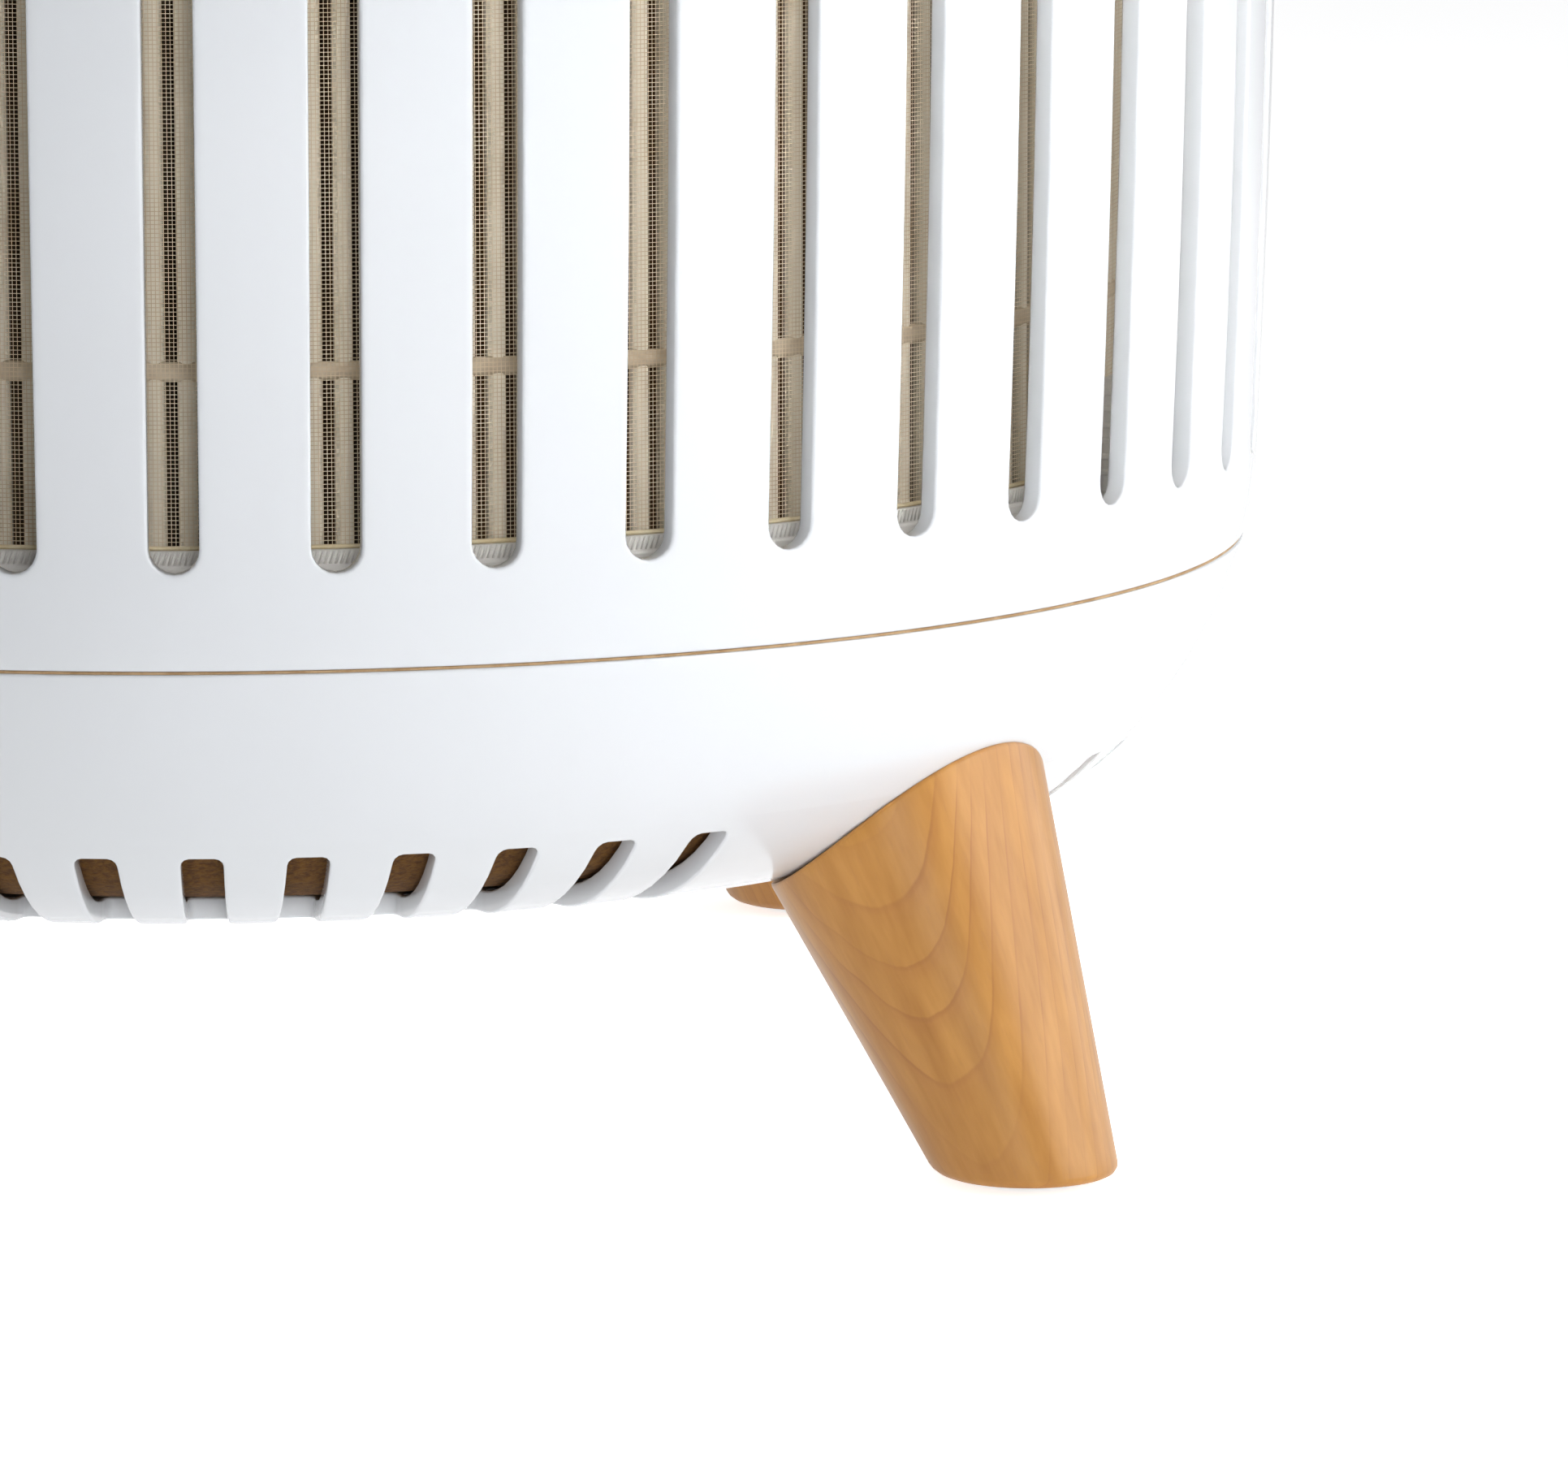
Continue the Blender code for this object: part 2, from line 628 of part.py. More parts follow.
def filter_cartridge():
    net, pleats, carbon, core = filter_radii()
    opening = core - CORE_WALL
    floor = FILTER_LOW_Z + FILTER_CAP
    ceiling = FILTER_HIGH_Z - FILTER_CAP
    rim_in = FILTER_R - FILTER_RIM_WALL
    low_cap = [
        (0, FILTER_LOW_Z),
        (FILTER_R, FILTER_LOW_Z),
        (FILTER_R, FILTER_LOW_Z + FILTER_RIM_RISE),
        (rim_in, FILTER_LOW_Z + FILTER_RIM_RISE),
        (rim_in, floor),
        (0, floor),
    ]
    place("filter_bottom_cap", turned(low_cap, MID_ROUND), "grey_plastic")
    high_cap = [
        (opening, ceiling),
        (rim_in, ceiling),
        (rim_in, FILTER_HIGH_Z - FILTER_RIM_RISE),
        (FILTER_R, FILTER_HIGH_Z - FILTER_RIM_RISE),
        (FILTER_R, FILTER_HIGH_Z),
        (opening, FILTER_HIGH_Z),
    ]
    place("filter_top_cap", turned(high_cap, MID_ROUND), "grey_plastic")
    low, high = floor + FIT_GAP, ceiling - FIT_GAP
    place("filter_net", tube(net - NET_WALL, net, low, high, MID_ROUND), "filter_net")
    place("filter_pleats", tube(pleats - PLEAT_DEPTH, pleats, low, high, MID_ROUND), "filter_paper")
    place("carbon_sleeve", tube(carbon - CARBON_WALL, carbon, low, high, MID_ROUND), "carbon")
    tubes = place("filter_core", tube(core - CORE_WALL, core, low, high, MID_ROUND), "black_plastic")
    windows = []
    for index in range(CORE_WINDOWS):
        window = block(CORE_WINDOW_DEPTH, CORE_WINDOW_WIDTH, low + 12 * MM, high - 12 * MM)
        windows.append(moved(window, towards(360 * index / CORE_WINDOWS, core)))
    cut(tubes, merged(*windows))
    seal_low = FILTER_HIGH_Z + FIT_GAP
    place("filter_seal", tube(opening, opening + SEAL_WALL, seal_low, seal_low + SEAL_HEIGHT, MID_ROUND), "foam")


# ---------------------------------------------------------------- drum


def plate_z():
    """The underside of the inlet plate, which the filter's seal meets."""
    return FILTER_HIGH_Z + 2 * FIT_GAP + SEAL_HEIGHT


def housing_shell():
    low = BASE_SEAM_Z + SEAM_GAP
    high = CAP_SEAM_Z - SEAM_GAP
    ledge_top = plate_z() - FIT_GAP
    ledge_low = ledge_top - LEDGE
    flange_top = high - 1 * MM
    flange_low = flange_top - CAP_FLANGE
    outline = [(body_radius(low), low)] + side_curve(0, LOW_SHOULDER_Z, HIGH_SHOULDER_Z, 4)
    outline.append((body_radius(high), high))
    outline += [(body_radius(high, WALL), high), (body_radius(flange_top, WALL), flange_top)]
    outline += [(CAP_FLANGE_INNER_R, flange_top), (CAP_FLANGE_INNER_R, flange_low)]
    outline += side_curve(WALL, flange_low, ledge_top, 1)
    outline += [(LEDGE_INNER_R, ledge_top), (LEDGE_INNER_R, ledge_low)]
    outline += side_curve(WALL, ledge_low, LOW_SHOULDER_Z, 2)
    outline.append((body_radius(low, WALL), low))
    shell = place("housing_shell", turned(outline), "white_gloss")
    slots = []
    pitch = 360 / SLOTS_A_TURN
    for index in range(SLOTS_A_TURN):
        bearing = (index + 0.5) * pitch
        if abs(bearing - 180) < REAR_PANEL_HALF_ANGLE:
            continue
        slot = side_slot(SLOT_WIDTH, SLOT_LOW_Z, SLOT_HIGH_Z, BODY_RADIUS - 3 * WALL, BODY_RADIUS + WALL)
        slots.append(moved(slot, towards(bearing)))
    cut(shell, merged(*slots))
    holes = []
    nose = rod(INLET_NOSE_R + FIT_GAP, BODY_RADIUS - 4 * WALL, BODY_RADIUS + WALL)
    holes.append(moved(nose, towards(180, 0, INLET_Z) @ OUTWARDS))
    middle = sensor_z() + SENSOR_HEIGHT / 2
    for index in range(SENSOR_SLITS):
        shift = (index - (SENSOR_SLITS - 1) / 2) * SENSOR_SLIT_PITCH
        slit = side_slot(
            SENSOR_SLIT_WIDTH,
            middle - SENSOR_SLIT_HEIGHT / 2,
            middle + SENSOR_SLIT_HEIGHT / 2,
            BODY_RADIUS - 3 * WALL,
            BODY_RADIUS + WALL,
            1,
        )
        holes.append(moved(slit, towards(SENSOR_BEARING) @ Matrix.Translation((0, shift, 0))))
    for bearing in CAP_SCREW_BEARINGS:
        hole = rod(SCREW_R + FIT_GAP, flange_low - 1 * MM, flange_top + 1 * MM, SCREW_ROUND)
        holes.append(moved(hole, towards(bearing, CAP_SCREW_RING)))
    cut(shell, merged(*holes))


def sensor_z():
    return plate_z() + PLATE + FIT_GAP


def top_cap():
    low = CAP_SEAM_Z
    flange_top = CAP_SEAM_Z - SEAM_GAP - 1 * MM
    lip = GRILLE_R + FIT_GAP
    outer = [point for point in flipped(bowl_curve(0, 2 * EQUATOR_Z - low, 7)) if point[0] > lip]
    lip_z = 2 * EQUATOR_Z - shoulder_z(lip)
    seat = GRILLE_SEAT_Z - FIT_GAP
    under = seat - 2.5 * MM
    inner_radius = body_radius(under, WALL)
    outline = [(body_radius(low, WALL), low)] + outer[::-1] + [(lip, lip_z), (lip, seat)]
    outline += [(lip - CAP_LEDGE, seat), (lip - CAP_LEDGE, under), (inner_radius, under)]
    for step in range(1, 3):
        z = under + (low - under) * step / 3
        outline.append((body_radius(z, WALL), z))
    cap = place("top_cap", turned(outline), "white_gloss")
    bosses = []
    holes = []
    for bearing in CAP_SCREW_BEARINGS:
        boss = rod(CAP_BOSS_R, flange_top + FIT_GAP, under - CAP_BOSS_DROP, 10)
        bosses.append(moved(boss, towards(bearing, CAP_SCREW_RING)))
        hole = rod(SCREW_R + FIT_GAP, flange_top - 1 * MM, flange_top + SCREW_GRIP, SCREW_ROUND)
        holes.append(moved(hole, towards(bearing, CAP_SCREW_RING)))
    add(cap, merged(*bosses))
    cut(cap, merged(*holes))
    flange_low = flange_top - CAP_FLANGE
    for index, bearing in enumerate(CAP_SCREW_BEARINGS, 1):
        screw = turned(
            [
                (0, flange_low - FIT_GAP - SCREW_HEAD),
                (SCREW_HEAD_R, flange_low - FIT_GAP - SCREW_HEAD),
                (SCREW_HEAD_R, flange_low - FIT_GAP),
                (SCREW_R, flange_low - FIT_GAP),
                (SCREW_R, flange_top + SCREW_GRIP - 1 * MM),
                (0, flange_top + SCREW_GRIP - 1 * MM),
            ],
            SCREW_ROUND,
        )
        place(f"cap_screw_{index}", screw, "steel", towards(bearing, CAP_SCREW_RING))


def power_inlet():
    """The socket at the rear: a nose in the shell's hole and a body behind it."""
    wall_in = body_radius(INLET_Z, WALL) - REAR_SEAT_GAP
    face = body_radius(INLET_Z) - 0.6 * MM
    back = wall_in - CHANNEL_DEPTH
    body = block(wall_in - back, INLET_SIDE, INLET_Z - INLET_SIDE / 2, INLET_Z + INLET_SIDE / 2)
    piece = place("power_inlet", moved(body, towards(180, (wall_in + back) / 2)), "black_plastic")
    add(piece, moved(rod(INLET_NOSE_R, wall_in - 2 * MM, face), towards(180, 0, INLET_Z) @ OUTWARDS))
    bore = rod(INLET_BORE_R, face - INLET_BORE_DEPTH, face + 2 * MM)
    cut(piece, moved(bore, towards(180, 0, INLET_Z) @ OUTWARDS))


def wire_channel():
    """An upright duct for the wires, from the power inlet to the fan."""
    low = INLET_Z + INLET_SIDE / 2 + FIT_GAP
    high = plate_z() - FIT_GAP - LEDGE - FIT_GAP
    outer = body_radius(low, WALL) - REAR_SEAT_GAP
    shape = block(CHANNEL_DEPTH, CHANNEL_WIDTH, low, high)
    piece = place("wire_channel", moved(shape, towards(180, outer - CHANNEL_DEPTH / 2)), "white_gloss")
    hollow = block(CHANNEL_DEPTH, CHANNEL_WIDTH - 2 * CHANNEL_WALL, low - 1 * MM, high + 1 * MM)
    cut(piece, moved(hollow, towards(180, outer - CHANNEL_DEPTH / 2 + CHANNEL_WALL)))


def sensor_module():
    low = sensor_z()
    outer = body_radius(low + SENSOR_HEIGHT / 2, WALL) - 2 * MM
    shape = block(SENSOR_DEPTH, SENSOR_WIDTH, low, low + SENSOR_HEIGHT)
    piece = place("dust_sensor", moved(shape, towards(SENSOR_BEARING, outer - SENSOR_DEPTH / 2)), "black_plastic")
    window = block(SENSOR_DEPTH, SENSOR_WIDTH / 2, low + 4 * MM, low + SENSOR_HEIGHT - 4 * MM)
    cut(piece, moved(window, towards(SENSOR_BEARING, outer)))


# ---------------------------------------------------------------- fan


def fan_plate():
    low = plate_z()
    high = low + PLATE
    lip = high + EYE_RISE
    outer = body_radius(low, WALL) - 2 * FIT_GAP
    outline = [(outer, low), (outer, high), (EYE_R + EYE_FLARE + PLATE, high)]
    for step in range(1, 4):
        angle = math.pi / 2 * step / 3
        outline.append((EYE_R + PLATE / 2 + EYE_FLARE * (1 - math.sin(angle)), lip - EYE_RISE * math.cos(angle)))
    outline.append((EYE_R, lip))
    for step in range(2, -1, -1):
        angle = math.pi / 2 * step / 3
        outline.append((EYE_R + EYE_FLARE * (1 - math.sin(angle)), lip - (EYE_RISE + PLATE) * math.cos(angle)))
    place("fan_plate", turned(outline[::-1], MID_ROUND), "grey_plastic")


def duct_low():
    return plate_z() + PLATE + FIT_GAP


def fan_duct():
    low = duct_low()
    high = low + DUCT_HEIGHT
    foot = 8 * MM
    outline = [
        (DUCT_R, low),
        (DUCT_R + foot, low),
        (DUCT_R + foot, low + DUCT_WALL),
        (DUCT_R + DUCT_WALL, low + DUCT_WALL),
        (DUCT_R + DUCT_WALL, high),
        (DUCT_R, high),
    ]
    place("fan_duct", turned(outline, MID_ROUND), "grey_plastic")


def blade_zs():
    """The heights of the shroud's underside, and of the blades' bottom and top."""
    shroud = plate_z() + PLATE + IMPELLER_CLEARANCE
    return shroud, shroud + IMPELLER_DISC, shroud + IMPELLER_DISC + BLADE_HEIGHT


def impeller():
    shroud, low, high = blade_zs()
    top = high + IMPELLER_DISC
    bore = SHAFT_R + FIT_GAP
    disc = [(bore, high - HUB_DROP), (HUB_R, high - HUB_DROP), (HUB_R, high), (IMPELLER_R, high)]
    disc += [(IMPELLER_R, top), (bore, top)]
    wheel = place("impeller", turned(disc, MID_ROUND), "white_gloss")
    eye = EYE_R + PLATE / 2 + 2 * IMPELLER_CLEARANCE
    blades = []
    for index in range(IMPELLER_BLADES):
        middle = []
        for step in range(BLADE_STEPS + 1):
            share = step / BLADE_STEPS
            radius = BLADE_INNER_R + (IMPELLER_R - 1 * MM - BLADE_INNER_R) * share
            angle = math.radians(360 * index / IMPELLER_BLADES - BLADE_SWEEP * share)
            middle.append(Vector((radius * math.cos(angle), radius * math.sin(angle))))
        outline = []
        for sign in (1, -1):
            side = []
            for step, point in enumerate(middle):
                along = middle[min(step + 1, BLADE_STEPS)] - middle[max(step - 1, 0)]
                normal = Vector((-along.y, along.x)).normalized()
                side.append(tuple(point + sign * normal * BLADE_WALL / 2))
            outline += side if sign < 0 else side[::-1]
        blades.append(prism(outline, low - IMPELLER_DISC / 2, high + IMPELLER_DISC / 2))
    add(wheel, merged(*blades))
    add(wheel, tube(eye, IMPELLER_R + 1 * MM, shroud, low, MID_ROUND))


def motor():
    _, _, blades_top = blade_zs()
    disc_top = blades_top + IMPELLER_DISC
    rotor_low = disc_top + FIT_GAP
    rotor_high = rotor_low + ROTOR_HEIGHT
    inside = ROTOR_R - ROTOR_WALL
    shaft_hole = SHAFT_R + FIT_GAP
    cup = [
        (shaft_hole, rotor_low),
        (ROTOR_R, rotor_low),
        (ROTOR_R, rotor_high),
        (inside, rotor_high),
        (inside, rotor_low + ROTOR_WALL),
        (shaft_hole, rotor_low + ROTOR_WALL),
    ]
    place("motor_rotor", turned(cup, 24), "steel")
    bracket_low = duct_low() + DUCT_HEIGHT + FIT_GAP
    nut_low = blades_top - HUB_DROP - FIT_GAP - NUT_HEIGHT
    place("motor_shaft", rod(SHAFT_R, nut_low + 1 * MM, bracket_low + BRACKET - 1 * MM), "steel")
    nut = place("shaft_nut", rod(NUT_R, nut_low, nut_low + NUT_HEIGHT, 6), "steel")
    cut(nut, rod(shaft_hole, nut_low - 1 * MM, nut_low + NUT_HEIGHT + 1 * MM))
    stator_high = bracket_low - FIT_GAP
    stator_low = stator_high - STATOR_HEIGHT
    core = BEARING_R + FIT_GAP
    pole = inside - AIR_GAP
    wound = [
        (core, stator_low),
        (pole * 0.62, stator_low),
        (pole * 0.62, stator_low + 3 * MM),
        (pole, stator_low + 3 * MM),
        (pole, stator_high - 3 * MM),
        (pole * 0.9, stator_high - 3 * MM),
        (pole * 0.9, stator_high),
        (core, stator_high),
    ]
    stator = place("motor_stator", turned(wound, 24), "copper")
    pilots = []
    for index in range(BRACKET_ARMS):
        pilot = rod(SCREW_R + FIT_GAP, stator_high - 7 * MM, stator_high + 1 * MM, SCREW_ROUND)
        pilots.append(moved(pilot, towards(120 * index + 60, MOTOR_SCREW_RING)))
    cut(stator, merged(*pilots))
    lows = {"bearing_lower": stator_low + 0.5 * MM, "bearing_upper": stator_high - 0.5 * MM - BEARING_WIDTH}
    for name, low in lows.items():
        ring = tube(SHAFT_R + RUNNING_GAP, BEARING_R, low, low + BEARING_WIDTH, SMALL_ROUND)
        place(name, ring, "steel")


def motor_bracket():
    low = duct_low() + DUCT_HEIGHT + FIT_GAP
    high = low + BRACKET
    ring = tube(DUCT_R - 3 * MM, DUCT_R + DUCT_WALL, low, high, MID_ROUND)
    bracket = place("motor_bracket", ring, "grey_plastic")
    arms = []
    for index in range(BRACKET_ARMS):
        reach = DUCT_R - 1 * MM - BRACKET_HUB_R / 2
        arm = block(reach, BRACKET_ARM_WIDTH, low, high)
        arms.append(moved(arm, towards(120 * index, BRACKET_HUB_R / 2 + reach / 2)))
    for arm in arms:
        add(bracket, arm)
    add(bracket, tube(SHAFT_R + 2 * MM, BRACKET_HUB_R, low, high, 24))
    posts = []
    for index in range(BRACKET_ARMS):
        post = rod(3 * MM, high - 1 * MM, high + BOARD_RAISE - FIT_GAP, 10)
        posts.append(moved(post, towards(120 * index, BOARD_POST_RING)))
    add(bracket, merged(*posts))
    holes = []
    for index in range(BRACKET_ARMS):
        hole = rod(SCREW_R + FIT_GAP, low - 1 * MM, high + 1 * MM, SCREW_ROUND)
        holes.append(moved(hole, towards(120 * index + 60, MOTOR_SCREW_RING)))
    cut(bracket, merged(*holes))
    for index in range(BRACKET_ARMS):
        screw = turned(
            [
                (0, low - 6 * MM),
                (SCREW_R, low - 6 * MM),
                (SCREW_R, high + FIT_GAP),
                (SCREW_HEAD_R, high + FIT_GAP),
                (SCREW_HEAD_R, high + FIT_GAP + 1.4 * MM),
                (0, high + FIT_GAP + 1.4 * MM),
            ],
            SCREW_ROUND,
        )
        place(f"motor_screw_{index + 1}", screw, "steel", towards(120 * index + 60, MOTOR_SCREW_RING))


def main_board():
    """An arc-shaped board on the inlet plate, behind the duct."""
    low = duct_low() + DUCT_WALL + 2 * FIT_GAP
    inner = DUCT_R + DUCT_WALL + 1 * MM
    outer = body_radius(low, WALL) - 2 * MM
    outline = []
    steps = 6
    for radius, order in ((outer, 1), (inner, -1)):
        for step in range(-steps, steps + 1):
            angle = math.radians(90 + order * step * MAIN_BOARD_HALF_ANGLE / steps)
            outline.append((radius * math.cos(angle), radius * math.sin(angle)))
    board = place("main_board", prism(outline, low, low + BOARD), "circuit_green")
    middle = (inner + outer) / 2
    sizes = {-18: (8, 10, 9), -8: (10, 7, 6), 0: (7, 7, 11), 7: (6, 12, 5), 17: (10, 10, 12)}
    parts = []
    for offset, (depth, width, height) in sizes.items():
        part = block(depth * MM, width * MM, low + BOARD / 2, low + BOARD + height * MM)
        parts.append(moved(part, towards(180 + offset, middle)))
    add(board, merged(*parts))


# ---------------------------------------------------------------- top


def outlet_grille():
    low = GRILLE_SEAT_Z
    high = low + GRILLE
    outline = [
        (GRILLE_LEDGE_R, low - GRILLE_LEDGE - FIT_GAP),
        (GRILLE_HUB_R + 3 * MM, low - GRILLE_LEDGE - FIT_GAP),
        (GRILLE_HUB_R + 3 * MM, low),
        (GRILLE_R, low),
        (GRILLE_R, high),
        (GRILLE_HUB_R, high + 2 * MM),
        (GRILLE_HUB_R, low - FIT_GAP),
        (GRILLE_LEDGE_R, low - FIT_GAP),
    ]
    grille = place("outlet_grille", turned(outline), "white_gloss")
    slots = []
    middle = (GRILLE_SLOT_INNER_R + GRILLE_SLOT_OUTER_R) / 2
    for index in range(GRILLE_SLOTS):
        length = GRILLE_SLOT_OUTER_R - GRILLE_SLOT_INNER_R
        slot = block(length, GRILLE_SLOT_WIDTH, low - 2 * MM, high + 4 * MM)
        slots.append(moved(slot, towards(360 * (index + 0.5) / GRILLE_SLOTS, middle)))
    cut(grille, merged(*slots))


def button_places():
    """Where each button stands: along the panel's front, in an arc."""
    for index, name in enumerate(BUTTON_NAMES):
        yield name, towards((index - 1.5) * BUTTON_PITCH, BUTTON_RING)


def control_panel():
    seat = GRILLE_SEAT_Z
    under = PANEL_TOP_Z - PANEL
    outline = [
        (0, under),
        (PANEL_R - PANEL_SKIRT, under),
        (PANEL_R - PANEL_SKIRT, seat),
        (PANEL_R, seat),
        (PANEL_R, PANEL_TOP_Z - 0.6 * MM),
        (PANEL_R - 0.6 * MM, PANEL_TOP_Z),
        (0, PANEL_TOP_Z),
    ]
    panel = place("control_panel", turned(outline, MID_ROUND), "white_gloss")
    holes = []
    for _, where in button_places():
        holes.append(moved(rod(BUTTON_R, under - 1 * MM, PANEL_TOP_Z + 1 * MM), where))
    cut(panel, merged(*holes))
    ring = [
        (PANEL_R + FIT_GAP, seat),
        (GRILLE_HUB_R - FIT_GAP, seat),
        (GRILLE_HUB_R - FIT_GAP, PANEL_TOP_Z - 1 * MM),
        (PANEL_R + FIT_GAP, PANEL_TOP_Z - 0.6 * MM),
    ]
    place("light_ring", turned(ring, MID_ROUND), "light_guide")


def buttons():
    under = PANEL_TOP_Z - PANEL
    lip_top = under - FIT_GAP
    lip_low = lip_top - BUTTON_LIP
    top = PANEL_TOP_Z + BUTTON_PROUD
    stem_low = switch_top() + BUTTON_TRAVEL + FIT_GAP
    side = BUTTON_R - FIT_GAP
    outline = [
        (0, stem_low),
        (BUTTON_STEM_R, stem_low),
        (BUTTON_STEM_R, lip_low),
        (BUTTON_R + 1.2 * MM, lip_low),
        (BUTTON_R + 1.2 * MM, lip_top),
        (side, lip_top),
        (side, top - 0.5 * MM),
        (side - 0.5 * MM, top),
        (0, top - 0.25 * MM),
    ]
    for name, where in button_places():
        place(name, turned(outline, SMALL_ROUND), "white_gloss", where)


def board_low():
    return duct_low() + DUCT_HEIGHT + FIT_GAP + BRACKET + BOARD_RAISE


def switch_top():
    return board_low() + BOARD + SWITCH_HEIGHT


def control_board():
    low = board_low()
    board = place("control_board", rod(BOARD_R, low, low + BOARD, 24), "circuit_green")
    switches = []
    for _, where in button_places():
        switches.append(moved(block(SWITCH_SIDE, SWITCH_SIDE, low + BOARD / 2, switch_top()), where))
    add(board, merged(*switches))


def main():
    clear_scene()
    base_bowl()
    legs()
    filter_tray()
    filter_cartridge()
    housing_shell()
    top_cap()
    power_inlet()
    wire_channel()
    sensor_module()
    fan_plate()
    fan_duct()
    impeller()
    motor()
    motor_bracket()
    main_board()
    outlet_grille()
    control_panel()
    buttons()
    control_board()


main()
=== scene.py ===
"""The looks of a round air purifier on maple legs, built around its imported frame.

Everything is in metres, in the frame's own axes: +Z is up and the front faces -Y. A bearing is an
angle about Z from the front, growing towards +X.
"""

import math
import random

import bmesh
import bpy
from mathutils import Matrix, Vector


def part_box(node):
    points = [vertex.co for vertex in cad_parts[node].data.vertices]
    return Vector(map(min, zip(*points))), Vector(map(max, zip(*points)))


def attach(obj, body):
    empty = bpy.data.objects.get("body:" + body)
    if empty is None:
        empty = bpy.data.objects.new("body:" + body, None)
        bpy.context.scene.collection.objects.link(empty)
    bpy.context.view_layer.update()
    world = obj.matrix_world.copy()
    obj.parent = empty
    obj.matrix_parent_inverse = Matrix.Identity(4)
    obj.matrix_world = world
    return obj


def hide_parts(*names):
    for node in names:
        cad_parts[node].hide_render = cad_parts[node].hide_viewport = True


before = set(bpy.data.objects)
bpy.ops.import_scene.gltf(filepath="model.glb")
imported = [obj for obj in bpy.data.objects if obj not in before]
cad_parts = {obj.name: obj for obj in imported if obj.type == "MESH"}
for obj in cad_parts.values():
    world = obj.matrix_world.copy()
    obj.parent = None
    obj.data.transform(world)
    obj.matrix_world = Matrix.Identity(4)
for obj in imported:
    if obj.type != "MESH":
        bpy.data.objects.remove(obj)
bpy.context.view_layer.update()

MM = 0.001

# ---------------------------------------------------------------- sizes read from the frame

SHELL_LOW, SHELL_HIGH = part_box("housing_shell")
BOWL_LOW, BOWL_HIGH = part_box("base_bowl")
CAP_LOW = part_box("top_cap")[0]
TRAY_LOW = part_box("filter_tray")[0]
CAP_RING_LOW, CAP_RING_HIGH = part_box("filter_bottom_cap")
TOP_RING_LOW, TOP_RING_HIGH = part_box("filter_top_cap")
NET_LOW, NET_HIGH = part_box("filter_net")
SEAL_LOW, SEAL_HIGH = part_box("filter_seal")
CARBON_LOW, CARBON_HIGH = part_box("carbon_sleeve")
CORE_LOW, CORE_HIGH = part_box("filter_core")
PLATE_LOW, PLATE_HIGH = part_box("fan_plate")
DUCT_LOW, DUCT_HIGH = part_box("fan_duct")
ROTOR_LOW, ROTOR_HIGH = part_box("motor_rotor")
WHEEL_LOW, WHEEL_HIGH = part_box("impeller")
GRILLE_LOW, GRILLE_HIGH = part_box("outlet_grille")
PANEL_LOW, PANEL_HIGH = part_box("control_panel")
RING_LOW, RING_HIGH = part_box("light_ring")

# ---------------------------------------------------------------- the body's outline

# Half of the body's outline is a flat underside, a shoulder that is a quarter of an ellipse, and a
# side that bulges a little up to the equator. The other half is the same, turned over.
BODY_R = 150 * MM
UNDERSIDE_Z = BOWL_LOW.z
SHOULDER_RUN = 42.8 * MM
SHOULDER_RISE = 55 * MM
SIDE_BULGE = 2 * MM
FLAT_R = BODY_R - SIDE_BULGE - SHOULDER_RUN
EQUATOR_Z = UNDERSIDE_Z + 151 * MM
LOW_SHOULDER_Z = UNDERSIDE_Z + SHOULDER_RISE
WALL = 3 * MM
SEAM_Z = SHELL_LOW.z - 0.4 * MM
EDGE_ROUND = 0.45 * MM

# ---------------------------------------------------------------- slots, holes and vents

SLOT_PITCH = math.radians(8)
SLOT_WIDTH = 6.5 * MM
SLOT_LOW_Z = 90.4 * MM
SLOT_HIGH_Z = 259 * MM
PLAIN_SLOTS = 3
SLOT_TILES = 45
SLOTS = SLOT_TILES - PLAIN_SLOTS

INLET_Z = 106 * MM
INLET_HOLE_R = 5.7 * MM
SENSOR_Z = 277.1 * MM
SENSOR_SLITS = 5
SENSOR_SLIT_PITCH = 3.6 * MM

VENT_PITCH = math.radians(6)
VENT_WIDTH = 5.5 * MM
VENT_INNER_R = 105 * MM
VENT_OUTER_R = 132.7 * MM
VENT_CORNER = 1.1 * MM
VENTS_A_QUARTER = 10
TILES_A_QUARTER = 15
VENT_TILES = 4 * TILES_A_QUARTER

UNDERSIDE_RING = 80.5 * MM
LINER_RADII = [radius * MM for radius in (98, 106, 114, 122, 130, 136)]

# ---------------------------------------------------------------- legs

# LEG_STAND is from the body's axis to the foot's middle, LEG_LEAN is inwards for each unit of height
LEG_STAND = 143.8 * MM
LEG_LEAN = 0.495
LEG_FOOT_R = 12.4 * MM
LEG_TAPER = 0.2
LEG_GAP = 0.3 * MM
LEG_LIFT = 0.8 * MM
LEG_EDGE = 1.3 * MM
LEG_STEPS = 96
LEG_ROWS = 26
# each leg's bearing in degrees, and how far along the plank its grain starts
LEGS = {
    "leg_front_right": (46.7, 0.0),
    "leg_front_left": (-46.7, 6.8 * MM),
    "leg_rear_right": (139, 12.4 * MM),
    "leg_rear_left": (-139, 17.6 * MM),
}
GRAIN_FACE = math.radians(71)
RINGS_A_METRE = 520

# ---------------------------------------------------------------- tray and screws

TRAY_RIM_R = 132.6 * MM
TRAY_RIBS = 24
GUIDE_BEARINGS = (-128, -65, 65, 128)
GUIDE_DEPTH = 5.5 * MM
GUIDE_WIDTH = 9 * MM
GUIDE_TOP_Z = 104 * MM
GUIDE_RIB_Z = 90.4 * MM
GUIDE_RIB_PITCH = 2.2 * MM
GUIDE_RIBS = 6

SCREW_HEAD_R = 3.2 * MM
SCREW_SHANK_R = 1.5 * MM
SCREW_THREAD = 1.1 * MM
TRAY_SCREW_R = 62 * MM
CAP_SCREW_R = 136 * MM
CAP_SCREW_BEARINGS = (-150, -60, 60, 150)
MOTOR_SCREW_R = 18 * MM

# ---------------------------------------------------------------- filter

